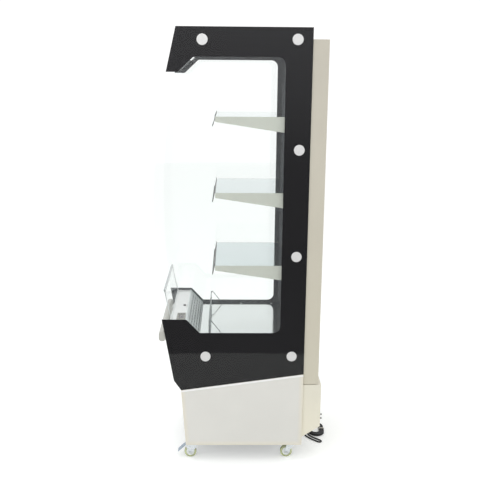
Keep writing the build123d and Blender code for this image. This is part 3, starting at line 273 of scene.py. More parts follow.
def world_nodes(tree):
    """White to the camera and through glass, even light for the rest, and a room by height for glossy rays."""
    add, wire = tree.nodes.new, tree.links.new
    tree.nodes.clear()
    output, back = add("ShaderNodeOutputWorld"), add("ShaderNodeBackground")
    path, place = add("ShaderNodeLightPath"), add("ShaderNodeTexCoord")
    split, height = add("ShaderNodeSeparateXYZ"), add("ShaderNodeMapRange")
    ramp = add("ShaderNodeValToRGB")
    height.inputs["From Min"].default_value = -1
    wire(place.outputs["Generated"], split.inputs[0])
    wire(split.outputs["Z"], height.inputs["Value"])
    wire(height.outputs[0], ramp.inputs[0])
    for k, (spot, level) in enumerate(MIRRORED):
        stop = ramp.color_ramp.elements[k] if k < 2 else ramp.color_ramp.elements.new(spot)
        stop.position = spot
        stop.color = (level, level, level * 1.03, 1)
    lit, seen = add("ShaderNodeMix"), add("ShaderNodeMix")
    clear = add("ShaderNodeMath")
    clear.operation = "MAXIMUM"
    for mixer in (lit, seen):
        mixer.data_type = "RGBA"
    lit.inputs["A"].default_value = (AMBIENT, AMBIENT, AMBIENT * 1.01, 1)
    wire(path.outputs["Is Glossy Ray"], lit.inputs["Factor"])
    wire(ramp.outputs[0], lit.inputs["B"])
    wire(path.outputs["Is Camera Ray"], clear.inputs[0])
    wire(path.outputs["Is Transmission Ray"], clear.inputs[1])
    wire(clear.outputs[0], seen.inputs["Factor"])
    wire(lit.outputs["Result"], seen.inputs["A"])
    seen.inputs["B"].default_value = (SEEN_WHITE, SEEN_WHITE, SEEN_WHITE, 1)
    wire(seen.outputs["Result"], back.inputs["Color"])
    wire(back.outputs[0], output.inputs[0])


world_nodes(world.node_tree)

# %% Floor
FLOOR_RADIUS = 6.0
FLOOR_NEAR_EDGE = 1.42
FLOOR_TONE = (0.80, 0.815, 0.80, 1)
FLOOR_GLOW = 0.33
floor_bm = bmesh.new()
bmesh.ops.create_circle(
    floor_bm, cap_ends=True, segments=128, radius=FLOOR_RADIUS,
    matrix=Matrix.Translation((FLOOR_NEAR_EDGE - FLOOR_RADIUS, 0, 0)),
)
floor_mesh = bpy.data.meshes.new("floor")
floor_bm.to_mesh(floor_mesh)
floor_bm.free()
floor = bpy.data.objects.new("floor", floor_mesh)
scene.collection.objects.link(floor)


def floor_finish():
    """Pale floor that reads white to the eye and through glass, yet takes the shadow of the case."""
    made = bpy.data.materials.new("floor")
    made.use_nodes = True
    add, wire = made.node_tree.nodes.new, made.node_tree.links.new
    made.node_tree.nodes.clear()
    output, total = add("ShaderNodeOutputMaterial"), add("ShaderNodeAddShader")
    paper, glow = add("ShaderNodeBsdfDiffuse"), add("ShaderNodeEmission")
    path, most = add("ShaderNodeLightPath"), add("ShaderNodeMath")
    share = add("ShaderNodeMath")
    most.operation, share.operation = "MAXIMUM", "MULTIPLY"
    paper.inputs["Color"].default_value = FLOOR_TONE
    share.inputs[1].default_value = FLOOR_GLOW
    wire(path.outputs["Is Camera Ray"], most.inputs[0])
    wire(path.outputs["Is Transmission Ray"], most.inputs[1])
    wire(most.outputs[0], share.inputs[0])
    wire(share.outputs[0], glow.inputs["Strength"])
    wire(paper.outputs[0], total.inputs[0])
    wire(glow.outputs[0], total.inputs[1])
    wire(total.outputs[0], output.inputs[0])
    return made


floor_mesh.materials.append(floor_finish())

# %% Soft lamps: name, place, size in metres and power in watts
LAMP_TARGET = Vector((0, 0, 0.9))
LAMPS = [
    ("lamp_side", (2.6, -1.6, 2.3), 1.8, 16),
    ("lamp_over", (0.6, -0.6, 3.4), 2.4, 22),
    ("lamp_rear", (1.2, 2.6, 1.9), 1.6, 8),
]
for lamp_name, lamp_place, lamp_size, lamp_power in LAMPS:
    lamp_data = bpy.data.lights.new(lamp_name, "AREA")
    lamp_data.size = lamp_size
    lamp_data.energy = lamp_power
    lamp = bpy.data.objects.new(lamp_name, lamp_data)
    scene.collection.objects.link(lamp)
    lamp.location = lamp_place
    aim = LAMP_TARGET - Vector(lamp_place)
    lamp.rotation_euler = aim.to_track_quat("-Z", "Y").to_euler()

# %% [markdown]
# ## Finishes
# Most of the case is sheet metal and moulded plastic. A real sheet is never one flat colour: it has a faint
# drift of tone over a hand's breadth and the fine dimple of its paint. One helper makes both from noise
# on Object coordinates, so the pattern keeps its real size on a wheel or on a wall.

# %% Noise on a piece's own coordinates
def noise(tree, size, detail=2.0, stretch=(1, 1, 1)):
    """Value output of a noise whose blotches are about size metres across, drawn out by stretch."""
    add, wire = tree.nodes.new, tree.links.new
    place, turn, cloud = add("ShaderNodeTexCoord"), add("ShaderNodeMapping"), add("ShaderNodeTexNoise")
    turn.inputs["Scale"].default_value = [1 / s for s in stretch]
    cloud.inputs["Scale"].default_value = 1 / size
    cloud.inputs["Detail"].default_value = detail
    wire(place.outputs["Object"], turn.inputs["Vector"])
    wire(turn.outputs[0], cloud.inputs["Vector"])
    return cloud.outputs["Fac"]


def mapped(tree, value, low, high, from_low=0.3, from_high=0.7):
    """Output that runs from low to high as value runs from from_low to from_high."""
    scale = tree.nodes.new("ShaderNodeMapRange")
    for name, number in (("From Min", from_low), ("From Max", from_high), ("To Min", low), ("To Max", high)):
        scale.inputs[name].default_value = number
    tree.links.new(value, scale.inputs["Value"])
    return scale.outputs[0]


def blended(tree, share, first, second):
    """Colour output between two colours or colour outputs by share."""
    mixer = tree.nodes.new("ShaderNodeMix")
    mixer.data_type = "RGBA"
    tree.links.new(share, mixer.inputs["Factor"])
    for name, colour in (("A", first), ("B", second)):
        if isinstance(colour, (tuple, list)):
            mixer.inputs[name].default_value = (*colour[:3], 1)
        else:
            tree.links.new(colour, mixer.inputs[name])
    return mixer.outputs["Result"]


# %% The general finish
def surface(name, colour, roughness, metallic=0.0, drift=0.05, drift_size=0.18, grain=0.0012,
            depth=0.05, stretch=(1, 1, 1), coat=0.0):
    """Material with drifting tone, uneven gloss and fine relief."""
    made = bpy.data.materials.new(name)
    made.use_nodes = True
    tree = made.node_tree
    shader = tree.nodes["Principled BSDF"]
    darker = tuple(c * (1 - drift) for c in colour)
    lighter = tuple(min(1.0, c * (1 + drift / 2)) for c in colour)
    share = mapped(tree, noise(tree, drift_size, 3, stretch), 0, 1)
    tree.links.new(blended(tree, share, darker, lighter), shader.inputs["Base Color"])
    gloss = mapped(tree, noise(tree, drift_size / 3, 3, stretch), roughness * 0.85, roughness * 1.2)
    tree.links.new(gloss, shader.inputs["Roughness"])
    relief = tree.nodes.new("ShaderNodeBump")
    relief.inputs["Strength"].default_value = depth
    relief.inputs["Distance"].default_value = grain / 4
    tree.links.new(noise(tree, grain, 2, stretch), relief.inputs["Height"])
    tree.links.new(relief.outputs[0], shader.inputs["Normal"])
    shader.inputs["Metallic"].default_value = metallic
    shader.inputs["Coat Weight"].default_value = coat
    return made


def dress(finish, *names):
    """Give a finish to parts of the model by name."""
    for name in names:
        for place in nodes[name].material_slots:
            place.material = finish


# %% [markdown]
# ## Sheet metal
# White powder coat covers the canopy, the front and the inside. The cabinet sides below the glass are a
# warmer white, with painted shade in a creamier band along their folded edges, and the rear casing is painted
# from warm grey at the top to cream at the foot, as painted light that comes back from the floor.

# %% White coats
white_coat = surface("white_coat", (0.86, 0.87, 0.86), 0.34, coat=0.2)
# The control cap is painted lighter than the other white coats, as painted light that makes up for the shade
# under the guard glass.
cap_coat_painted_light = surface("cap_coat_painted_light", (0.93, 0.94, 0.93), 0.22, coat=0.4, depth=0.03)
duct_steel = surface(
    "duct_steel", (0.66, 0.69, 0.69), 0.07, metallic=1, drift=0.03, stretch=(1, 1, 12), depth=0.02,
)
liner_coat = surface("liner_coat", (0.74, 0.76, 0.75), 0.4)
dress(white_coat, "front_panel", "base_front_grille")
dress(cap_coat_painted_light, "control_cap")
dress(duct_steel, "duct_panel")
dress(liner_coat, "insulated_body")

# %% Canopy, with painted shade inside its lip
# Painted shade: the slate colour given to the faces under the lip that turn down and back.
LIP_PAINTED_SHADE = (0.085, 0.095, 0.10)
SLOPE_LIMIT = 0.2


def canopy_finish():
    """White paint, with painted slate shade on the faces that turn down and back under the lip, where the lamp
    sits.
    """
    made = surface("canopy_coat", (0.80, 0.81, 0.80), 0.32, coat=0.2)
    tree = made.node_tree
    add, wire = tree.nodes.new, tree.links.new
    shader = tree.nodes["Principled BSDF"]
    drift = shader.inputs["Base Color"].links[0].from_socket
    facing_way, parts = add("ShaderNodeNewGeometry"), add("ShaderNodeSeparateXYZ")
    slope, downward, both = add("ShaderNodeMath"), add("ShaderNodeMath"), add("ShaderNodeMath")
    slope.operation, downward.operation, both.operation = "GREATER_THAN", "LESS_THAN", "MULTIPLY"
    slope.inputs[1].default_value = SLOPE_LIMIT
    downward.inputs[1].default_value = -SLOPE_LIMIT
    wire(facing_way.outputs["True Normal"], parts.inputs[0])
    wire(parts.outputs["Y"], slope.inputs[0])
    wire(parts.outputs["Z"], downward.inputs[0])
    wire(slope.outputs[0], both.inputs[0])
    wire(downward.outputs[0], both.inputs[1])
    wire(blended(tree, both.outputs[0], drift, LIP_PAINTED_SHADE), shader.inputs["Base Color"])
    return made


dress(canopy_finish(), "canopy")

# %% Rear casing, with painted light from the floor towards its foot
def floor_light_finish(name, top, foot, high_z, low_z):
    """Paint whose colour runs from foot at low_z to top at high_z, as painted light from the floor."""
    made = surface(name, top, 0.36, coat=0.15)
    tree = made.node_tree
    shader = tree.nodes["Principled BSDF"]
    drift = shader.inputs["Base Color"].links[0].from_socket
    place, split = tree.nodes.new("ShaderNodeTexCoord"), tree.nodes.new("ShaderNodeSeparateXYZ")
    tree.links.new(place.outputs["Object"], split.inputs[0])
    share = mapped(tree, split.outputs["Z"], 1, 0, low_z, high_z)
    tree.links.new(blended(tree, share, drift, foot), shader.inputs["Base Color"])
    return made


# Both colours turn lighter towards the floor: painted light bounced up from the floor.
casing_coat = floor_light_finish("casing_coat", (0.535, 0.505, 0.425), (0.60, 0.565, 0.455), 1.55, 0.35)
cover_coat = floor_light_finish("cover_coat", (0.78, 0.75, 0.63), (0.82, 0.78, 0.64), 0.35, 0.12)
dress(casing_coat, "rear_casing")
dress(cover_coat, "rear_lower_cover")

# %% Base side panels with painted shade on their folded edges
EDGE_FADE = 0.02
EDGE_FULL = 0.002
# Cream painted along the folded edges as their shade.
EDGE_PAINTED_SHADE = (0.76, 0.72, 0.61)
FRONT_LEAN = 17.5 / 244
FRONT_AT_FLOOR = 0.0227
base_low, base_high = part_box("base_side_right")


def base_side_finish():
    """White paint that turns cream within two centimetres of the panel's front, rear and lower edges, as
    painted shade of the folds there.
    """
    made = surface("base_side_coat", (0.735, 0.725, 0.68), 0.38, coat=0.1, drift=0.03)
    tree = made.node_tree
    add, wire = tree.nodes.new, tree.links.new
    shader = tree.nodes["Principled BSDF"]
    drift = shader.inputs["Base Color"].links[0].from_socket
    place, split = add("ShaderNodeTexCoord"), add("ShaderNodeSeparateXYZ")
    wire(place.outputs["Object"], split.inputs[0])
    lean = add("ShaderNodeMath")
    lean.operation = "MULTIPLY_ADD"
    lean.inputs[1].default_value = FRONT_LEAN
    wire(split.outputs["Z"], lean.inputs[0])
    wire(split.outputs["Y"], lean.inputs[2])
    front_y = base_low.y + FRONT_AT_FLOOR
    fades = [
        mapped(tree, lean.outputs[0], 1, 0, front_y, front_y + EDGE_FADE),
        mapped(tree, split.outputs["Y"], 0, 1, base_high.y - EDGE_FADE, base_high.y - EDGE_FULL),
        mapped(tree, split.outputs["Z"], 1, 0, base_low.z + EDGE_FULL, base_low.z + EDGE_FADE),
    ]
    most = fades[0]
    for fade in fades[1:]:
        larger = add("ShaderNodeMath")
        larger.operation = "MAXIMUM"
        wire(most, larger.inputs[0])
        wire(fade, larger.inputs[1])
        most = larger.outputs[0]
    wire(blended(tree, most, drift, EDGE_PAINTED_SHADE), shader.inputs["Base Color"])
    return made


dress(base_side_finish(), "base_side_left", "base_side_right")

# %% [markdown]
# ## Bright metal
# Shelves and deck are polished steel: level, they mirror the far window, and that pale blue-grey reflection is
# also painted into their colour.
# The brushed direction runs across the case, so the noise is drawn out along X. Wire, caps and trim differ
# in tone and in how sharp their gloss is.

# %% Metals
ACROSS = (14, 1, 1)
sheet_steel = {"metallic": 1, "drift": 0.03, "stretch": ACROSS, "depth": 0.03}
# The blue-grey tint in these steel colours is a painted reflection of the far window.
deck_steel = surface("deck_steel", (0.70, 0.735, 0.725), 0.10, **sheet_steel)
shelf_steel = surface("shelf_steel", (0.60, 0.67, 0.675), 0.09, **sheet_steel)
cap_metal = surface(
    "cap_metal", (0.74, 0.74, 0.725), 0.42, metallic=0.35, drift=0.04, drift_size=0.01, grain=0.0006,
)
wire_chrome = surface("wire_chrome", (0.22, 0.25, 0.25), 0.25, metallic=1, drift=0.04, drift_size=0.03)
trim_metal = surface("trim_metal", (0.50, 0.52, 0.52), 0.2, metallic=1, drift=0.05, stretch=(10, 1, 1))
screw_steel = surface("screw_steel", (0.7, 0.72, 0.72), 0.22, metallic=1, drift_size=0.004)
bar_metal = surface("bar_metal", (0.55, 0.545, 0.50), 0.35, metallic=0.3, drift=0.04, stretch=(20, 1, 1))
bracket_paint = surface("bracket_paint", (0.585, 0.60, 0.53), 0.33, drift=0.03, coat=0.2)
standard_slate = surface("standard_slate", (0.075, 0.085, 0.092), 0.3, drift=0.08, drift_size=0.03)
zinc = surface("zinc", (0.56, 0.57, 0.57), 0.33, metallic=0.9, drift=0.14, drift_size=0.03, grain=0.002)
dress(deck_steel, "deck")
dress(shelf_steel, "shelf_1", "shelf_2", "shelf_3")
dress(cap_metal, "glass_caps")
dress(wire_chrome, "wire_fence")
dress(trim_metal, "guard_trim")
dress(screw_steel, "deck_screws")
dress(bar_metal, "bumper_bar")
dress(bracket_paint, "shelf_brackets")
dress(standard_slate, "shelf_standards")
dress(zinc, "base_tray", "fan_bulkhead")

# %% Grille, grids and plastics
grille_paint = surface("grille_paint", (0.72, 0.78, 0.77), 0.3, drift=0.05, coat=0.2)
air_plastic = surface("air_plastic", (0.42, 0.45, 0.45), 0.45)
opal = surface("opal", (0.80, 0.82, 0.82), 0.05, drift=0.01, depth=0.0, coat=0.6)
console_plastic = surface("console_plastic", (0.34, 0.335, 0.30), 0.42, drift=0.06, grain=0.0007, depth=0.12)
key_rubber = surface("key_rubber", (0.09, 0.09, 0.088), 0.6, grain=0.0005, depth=0.15)
rocker_plastic = surface("rocker_plastic", (0.05, 0.05, 0.052), 0.25)
dress(grille_paint, "return_grille")
dress(air_plastic, "discharge_grid")
dress(opal, "led_lamp")
dress(console_plastic, "controller")
dress(key_rubber, "button_set", "button_up", "button_down")
dress(rocker_plastic, "light_switch")

# %% Running gear and machinery
fork_plate = surface("fork_plate", (0.86, 0.90, 0.93), 0.28, metallic=0.15, drift=0.06, drift_size=0.02)
pedal_plate = surface("pedal_plate", (0.36, 0.43, 0.50), 0.35, metallic=0.3, drift=0.08, drift_size=0.02)
coil_metal = surface("coil_metal", (0.62, 0.63, 0.62), 0.35, metallic=0.9, drift=0.1, drift_size=0.03)
fan_black = surface("fan_black", (0.02, 0.02, 0.021), 0.42)
shroud_black = surface("shroud_black", (0.035, 0.035, 0.036), 0.5)
shell_black = surface("shell_black", (0.012, 0.012, 0.013), 0.3, coat=0.3)
copper = surface("copper", (0.72, 0.35, 0.2), 0.26, metallic=1, drift=0.2, drift_size=0.02)
tray_plastic = surface("tray_plastic", (0.16, 0.16, 0.165), 0.45)
box_plastic = surface("box_plastic", (0.42, 0.43, 0.43), 0.45)
cord_black = surface(
    "cord_black", (0.016, 0.016, 0.017), 0.45, drift=0.2, drift_size=0.01, grain=0.0006, depth=0.1,
)
plug_black = surface("plug_black", (0.018, 0.018, 0.019), 0.4, grain=0.0008, depth=0.2)
tie_white = surface("tie_white", (0.70, 0.68, 0.62), 0.45, drift=0.1, drift_size=0.006)
dress(fork_plate, "castor_plates", *(n for n in nodes if n.startswith("fork_")))
dress(pedal_plate, "brake_pedal_front_left", "brake_pedal_front_right")
dress(coil_metal, "evaporator", "condenser")
dress(fan_black, "evaporator_fan", "condenser_fan")
dress(shroud_black, "condenser_shroud")
dress(shell_black, "compressor")
dress(copper, "refrigerant_pipes")
dress(tray_plastic, "drain_tray")
dress(box_plastic, "electrical_box")
dress(plug_black, "mains_plug", "cord_gland")
dress(tie_white, "cord_tie")
lead_curve.materials.append(cord_black)

# %% [markdown]
# ## Glass
# Clear glass has to let the lamps through, or everything behind it would sit in a false shadow. So its
# shader turns transparent for shadow rays only and is real refracting glass to every other ray.
# The side panes are a touch green, which only shows along their polished edges. The guard glass is thinner,
# and refraction would darken its curve, so it only tints and faintly mirrors.

# %% Clear glass
GLASS_IOR = 1.5
SHADOW_TINT = (0.94, 0.95, 0.945, 1)


def clear_glass(name, tint):
    """Refracting glass that casts no solid shadow."""
    made = bpy.data.materials.new(name)
    made.use_nodes = True
    tree = made.node_tree
    shader, output = tree.nodes["Principled BSDF"], tree.nodes["Material Output"]
    shader.inputs["Base Color"].default_value = (*tint, 1)
    shader.inputs["Roughness"].default_value = 0
    shader.inputs["Transmission Weight"].default_value = 1
    shader.inputs["IOR"].default_value = GLASS_IOR
    path, clear = tree.nodes.new("ShaderNodeLightPath"), tree.nodes.new("ShaderNodeBsdfTransparent")
    both = tree.nodes.new("ShaderNodeMixShader")
    clear.inputs["Color"].default_value = SHADOW_TINT
    tree.links.new(path.outputs["Is Shadow Ray"], both.inputs["Fac"])
    tree.links.new(shader.outputs[0], both.inputs[1])
    tree.links.new(clear.outputs[0], both.inputs[2])
    tree.links.new(both.outputs[0], output.inputs["Surface"])
    return made


pane_glass = clear_glass("pane_glass", (0.975, 0.99, 0.985))
dress(pane_glass, "side_glass_left", "side_glass_right")

# %% Thin glass of the guard
THIN_MIRROR = 0.14
FACES_SIDEWAYS = 0.9


def thin_glass(name, tint, edge):
    """Sheet so thin that it only tints and mirrors what is seen through it, with a paler polished edge."""
    made = bpy.data.materials.new(name)
    made.use_nodes = True
    add, wire = made.node_tree.nodes.new, made.node_tree.links.new
    made.node_tree.nodes.clear()
    output, pane = add("ShaderNodeOutputMaterial"), add("ShaderNodeMixShader")
    whole, rim = add("ShaderNodeMixShader"), add("ShaderNodeBsdfTranslucent")
    clear, gloss = add("ShaderNodeBsdfTransparent"), add("ShaderNodeBsdfGlossy")
    angle, place, split = add("ShaderNodeFresnel"), add("ShaderNodeNewGeometry"), add("ShaderNodeSeparateXYZ")
    side, far, faint = add("ShaderNodeMath"), add("ShaderNodeMath"), add("ShaderNodeMath")
    side.operation, far.operation, faint.operation = "ABSOLUTE", "GREATER_THAN", "MULTIPLY"
    far.inputs[1].default_value = FACES_SIDEWAYS
    faint.inputs[1].default_value = THIN_MIRROR
    clear.inputs["Color"].default_value = (*tint, 1)
    rim.inputs["Color"].default_value = (*edge, 1)
    gloss.inputs["Roughness"].default_value = 0.02
    wire(angle.outputs[0], faint.inputs[0])
    wire(faint.outputs[0], pane.inputs["Fac"])
    wire(clear.outputs[0], pane.inputs[1])
    wire(gloss.outputs[0], pane.inputs[2])
    wire(place.outputs["True Normal"], split.inputs[0])
    wire(split.outputs["X"], side.inputs[0])
    wire(side.outputs[0], far.inputs[0])
    wire(far.outputs[0], whole.inputs["Fac"])
    wire(pane.outputs[0], whole.inputs[1])
    wire(rim.outputs[0], whole.inputs[2])
    wire(whole.outputs[0], output.inputs["Surface"])
    return made


guard_clear = thin_glass("guard_clear", (0.985, 0.99, 0.988), (0.85, 0.87, 0.86))
dress(guard_clear, "guard_glass")

# %% [markdown]
# ## The black border
# The border is enamel fired into the inner face of each pane. Seen from outside it is deep black under
# the gloss of the glass; its back, which shows across the inside of the far pane, is slate grey.
# It is one thin C-shaped layer just inside the inner face of the glass, so no second reflection forms on it.

# %% Enamel finishes
enamel_face = surface("enamel_face", (0.0042, 0.0038, 0.0050), 0.5, drift=0.2, drift_size=0.4, depth=0.0)
enamel_back = surface("enamel_back", (0.088, 0.104, 0.114), 0.5, drift=0.06, depth=0.0)
for enamel in (enamel_face, enamel_back):
    enamel.node_tree.nodes["Principled BSDF"].inputs["Specular IOR Level"].default_value = 0.0

# %% Enamel border on both panes, from y, z and corner radius in millimetres
ENAMEL_DEPTH = 0.0003
ENAMEL_THICK = 0.00025
BORDER = [
    (262, 388, 0), (262, 1745, 0), (-243, 1745, 0), (-280.5, 1582.5, 0),
    (-237, 1582.5, 9), (-177.6, 1638, 9), (163, 1638, 28), (163, 564, 28),
    (-161.4, 564, 9), (-213.9, 620.0, 9), (-311.3, 620.5, 0), (-266, 360, 9), (-237, 318, 0),
]
border_outline = [(y / 1000, z / 1000) for y, z in rounded(BORDER)]
for side, sign in (("left", -1), ("right", 1)):
    glass_low, glass_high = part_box(f"side_glass_{side}")
    inner_x = glass_high.x if sign < 0 else glass_low.x
    outer_face_x = inner_x + sign * ENAMEL_DEPTH
    border = carried(border_outline, outer_face_x, outer_face_x - sign * ENAMEL_THICK)
    border.faces.ensure_lookup_table()
    for face in border.faces:
        face.material_index = int(abs(face.calc_center_median().x - outer_face_x) > ENAMEL_THICK / 2)
    mesh = shaped(f"enamel_{side}", border, [enamel_face, enamel_back])
    to_piece(f"enamel_{side}", mesh)
print("border corners", len(border_outline))

# %% [markdown]
# ## Repeated fittings
# Screws, stand-offs and strips are the same small thing again and again. One Geometry Nodes tree puts a model
# on each point of a list, makes the copies real, and gives them their finish. The result is then
# turned into a plain mesh, so that it exports and rides like any other piece.

# %% Tree that puts a model on points
def place_tree():
    """Node tree with inputs for the model, its size and its finish."""
    tree = bpy.data.node_groups.new("place_on_points", "GeometryNodeTree")
    sockets = {}
    for label, kind in (("Points", "Geometry"), ("Model", "Object"), ("Size", "Float"), ("Finish", "Material")):
        socket = tree.interface.new_socket(label, in_out="INPUT", socket_type=f"NodeSocket{kind}")
        sockets[label] = socket.identifier
    tree.interface.new_socket("Geometry", in_out="OUTPUT", socket_type="NodeSocketGeometry")
    add, wire = tree.nodes.new, tree.links.new
    given, result = add("NodeGroupInput"), add("NodeGroupOutput")
    info, copies = add("GeometryNodeObjectInfo"), add("GeometryNodeInstanceOnPoints")
    real, paint = add("GeometryNodeRealizeInstances"), add("GeometryNodeSetMaterial")
    wire(given.outputs["Points"], copies.inputs["Points"])
    wire(given.outputs["Model"], info.inputs["Object"])
    wire(info.outputs["Geometry"], copies.inputs["Instance"])
    wire(given.outputs["Size"], copies.inputs["Scale"])
    wire(copies.outputs[0], real.inputs[0])
    wire(real.outputs[0], paint.inputs["Geometry"])
    wire(given.outputs["Finish"], paint.inputs["Material"])
    wire(paint.outputs[0], result.inputs[0])
    return tree, sockets


placing, placing_inputs = place_tree()


def repeated(name, model_bm, spots, finish, crisp=35):
    """One piece with a copy of the model at each spot."""
    model = bpy.data.objects.new(name + "_model", shaped(name + "_model", model_bm, []))
    carrier = bpy.data.meshes.new(name + "_points")
    carrier.from_pydata([tuple(s) for s in spots], [], [])
    holder = bpy.data.objects.new(name + "_holder", carrier)
    for obj in (model, holder):
        scene.collection.objects.link(obj)
    modifier = holder.modifiers.new("place", "NODES")
    modifier.node_group = placing
    modifier[placing_inputs["Model"]] = model
    modifier[placing_inputs["Size"]] = 1.0
    modifier[placing_inputs["Finish"]] = finish
    bpy.context.view_layer.update()
    ready = holder.evaluated_get(bpy.context.evaluated_depsgraph_get())
    mesh = bpy.data.meshes.new_from_object(ready)
    for obj in (model, holder):
        bpy.data.objects.remove(obj)
    mesh.name = name
    print(name, "copies", len(spots), "faces", len(mesh.polygons))
    return to_piece(name, smooth(mesh, crisp))


# %% Round shapes from a profile
def round_loops(bm, profile, around):
    """One loop of vertices around Z for each (radius, height) of the profile."""
    angles = [2 * math.pi * k / around for k in range(around)]
    return [
        [bm.verts.new((radius * math.cos(a), radius * math.sin(a), height)) for a in angles]
        for radius, height in profile
    ]


def turned(bm, direction):
    """Turn a model that points to +Z so that it points along direction."""
    spin = Vector((0, 0, 1)).rotation_difference(Vector(direction)).to_matrix().to_4x4()
    bmesh.ops.transform(bm, matrix=spin, verts=bm.verts)
    return bm


# %% A screw head with a cross recess
HEAD_PROFILE = [(1.0, 0.0), (0.98, 0.35), (0.85, 0.72), (0.6, 0.93), (0.42, 1.0)]
HEAD_AROUND = 20
CROSS_LONG, CROSS_SHORT, CROSS_FLOOR = 0.30, 0.13, 0.55


def screw_head(radius, height, direction):
    """Domed head: rings that rise to a crown with a small cross cut into it."""
    bm = bmesh.new()
    loops = round_loops(bm, [(radius * share, height * rise) for share, rise in HEAD_PROFILE], HEAD_AROUND)
    for low, high in zip(loops, loops[1:]):
        bridged(bm, low, high)
    bm.faces.new(list(reversed(loops[0])))
    recess = []
    for k in range(HEAD_AROUND):
        arm = radius * (CROSS_LONG if k % 5 in (0, 1, 4) else CROSS_SHORT)
        angle = 2 * math.pi * k / HEAD_AROUND
        recess.append(bm.verts.new((arm * math.cos(angle), arm * math.sin(angle), height * CROSS_FLOOR)))
    bridged(bm, loops[-1], recess)
    bm.faces.new(recess)
    return turned(bm, direction)


# %% Screws on the back of the casing and the cover
casing_low, casing_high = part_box("rear_casing")
cover_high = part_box("rear_lower_cover")[1]
EDGE_IN = 0.014
SCREW_RADIUS, SCREW_HEIGHT = 0.004, 0.0018
END_IN = 0.05
SIDE_SCREWS = 6
BACKWARDS = (0, 1, 0)
level_step = (casing_high.z - casing_low.z - 2 * END_IN) / (SIDE_SCREWS - 1)
side_levels = [casing_low.z + END_IN + k * level_step for k in range(SIDE_SCREWS)]
back_spots = [(s * (casing_high.x - EDGE_IN), casing_high.y, z) for s in (-1, 1) for z in side_levels]
back_spots += [(x, casing_high.y, casing_high.z - EDGE_IN) for x in (-0.1, 0.0, 0.1)]
cover_spots = [(s * (cover_high.x - EDGE_IN), cover_high.y, z) for s in (-1, 1) for z in (0.17, 0.245, 0.32)]
for name, spots in (("casing_screws", back_spots), ("cover_rear_screws", cover_spots)):
    head = screw_head(SCREW_RADIUS, SCREW_HEIGHT, BACKWARDS)
    repeated(name, head, spots, screw_steel)

# %% Stand-off buttons at the rear corners of the cover
FOOT_PROFILE = [(1.0, 0.0), (0.92, 0.18), (0.7, 0.35), (0.7, 0.6), (0.82, 0.8), (0.7, 0.95), (0.35, 1.0)]
FOOT_AROUND = 24
FOOT_SINK = 0.0003


def bumper_foot(radius, height, direction):
    """Rubber stand-off with a waist and a rounded end."""
    bm = bmesh.new()
    loops = round_loops(bm, [(radius * share, height * rise) for share, rise in FOOT_PROFILE], FOOT_AROUND)
    for low, high in zip(loops, loops[1:]):
        bridged(bm, low, high)
    bm.faces.new(list(reversed(loops[0])))
    bm.faces.new(loops[-1])
    return turned(bm, direction)


foot_rubber = surface("foot_rubber", (0.30, 0.30, 0.29), 0.55, grain=0.0006, depth=0.15)
foot_spots = [(x, cover_high.y - FOOT_SINK, z) for x in (-0.213, 0.213) for z in (0.1874, 0.2046)]
repeated("cover_feet", bumper_foot(0.005, 0.0085, BACKWARDS), foot_spots, foot_rubber)

# %% [markdown]
# ## Price strips
# A price strip is an extruded plastic channel that clips to the shelf's front: a leaning face with a lip
# rolled in along its top and foot to hold paper tags. The model holds it as a plain slab, so here the slab
# is replaced by the channel. All three are the same, so the tree above repeats one channel.

# %% Channel section in y and z millimetres, and its three copies
strip_low, strip_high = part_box("price_strips")
STRIP_HALF = (strip_high.x - strip_low.x) / 2
shelf_levels = [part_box(f"shelf_{k}")[1].z for k in (1, 2, 3)]
STRIP_SECTION = [
    (-98.5, 4.0), (-100.6, 4.0), (-101.4, 2.6), (-101.4, 0.4), (-100.9, 0.3), (-100.7, 1.9), (-100.1, 2.4),
    (-99.9, 1.0), (-108.3, -33.4), (-109.0, -33.8), (-109.6, -32.4), (-110.3, -32.6), (-109.9, -35.0),
    (-109.0, -36.0), (-107.4, -36.0), (-107.2, -35.2),
]
strip_plastic = surface("strip_plastic", (0.055, 0.057, 0.053), 0.4, drift=0.08)
channel = carried([(y / 1000, z / 1000) for y, z in STRIP_SECTION], -STRIP_HALF, STRIP_HALF)
channel_spots = [(0, 0, z) for z in shelf_levels]
strips = repeated("price_channels", channel, channel_spots, strip_plastic, crisp=20)
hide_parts("price_strips")

# %% [markdown]
# ## Trim between glass and base
# A white half-round bead covers the top edge of each base panel, just under the black glass. It follows the
# slope of the panel, so it is a short section carried along two points of that slope.

# %% Bead along the sloping top
BEAD_FRONT_Z = 0.3168
BEAD_HALF = 0.0035
BEAD_PROUD = 0.0013
BEAD_STEPS = 8


def bead(name, sign):
    """Half-round bead from the front to the rear of the base panel's top edge."""
    front = Vector((0, base_low.y + 0.001, BEAD_FRONT_Z))
    rear = Vector((0, base_high.y - 0.0005, base_high.z - 0.0012))
    along = (rear - front).normalized()
    across = Vector((0, -along.z, along.y))
    bm = bmesh.new()
    ends = []
    for spot in (front, rear):
        ring = []
        for k in range(BEAD_STEPS + 1):
            angle = math.pi * k / BEAD_STEPS
            out = BEAD_PROUD * math.sin(angle)
            down = -BEAD_HALF + BEAD_HALF * math.cos(angle)
            ring.append(bm.verts.new(spot + across * down + Vector((sign * (base_high.x + out), 0, 0))))
        ends.append(ring)
    for k in range(BEAD_STEPS):
        bm.faces.new((ends[0][k], ends[0][k + 1], ends[1][k + 1], ends[1][k]))
    bm.faces.new(ends[0])
    bm.faces.new(list(reversed(ends[1])))
    bm.faces.new((ends[0][0], ends[1][0], ends[1][-1], ends[0][-1]))
    return to_piece(name, smooth(shaped(name, bm, [bead_white])))


bead_white = surface("bead_white", (0.90, 0.90, 0.89), 0.2, drift=0.02, coat=0.4)
for side, sign in (("left", -1), ("right", 1)):
    bead(f"top_bead_{side}", sign)

# %% [markdown]
# ## Castors
# The wheels are cast polyurethane: a clear yellow-green that lets some light through, on a paler core.
# The model already turns and swivels them, so here they only get that finish, a hub cover on
# each face and a lock nut on each end of the axle.

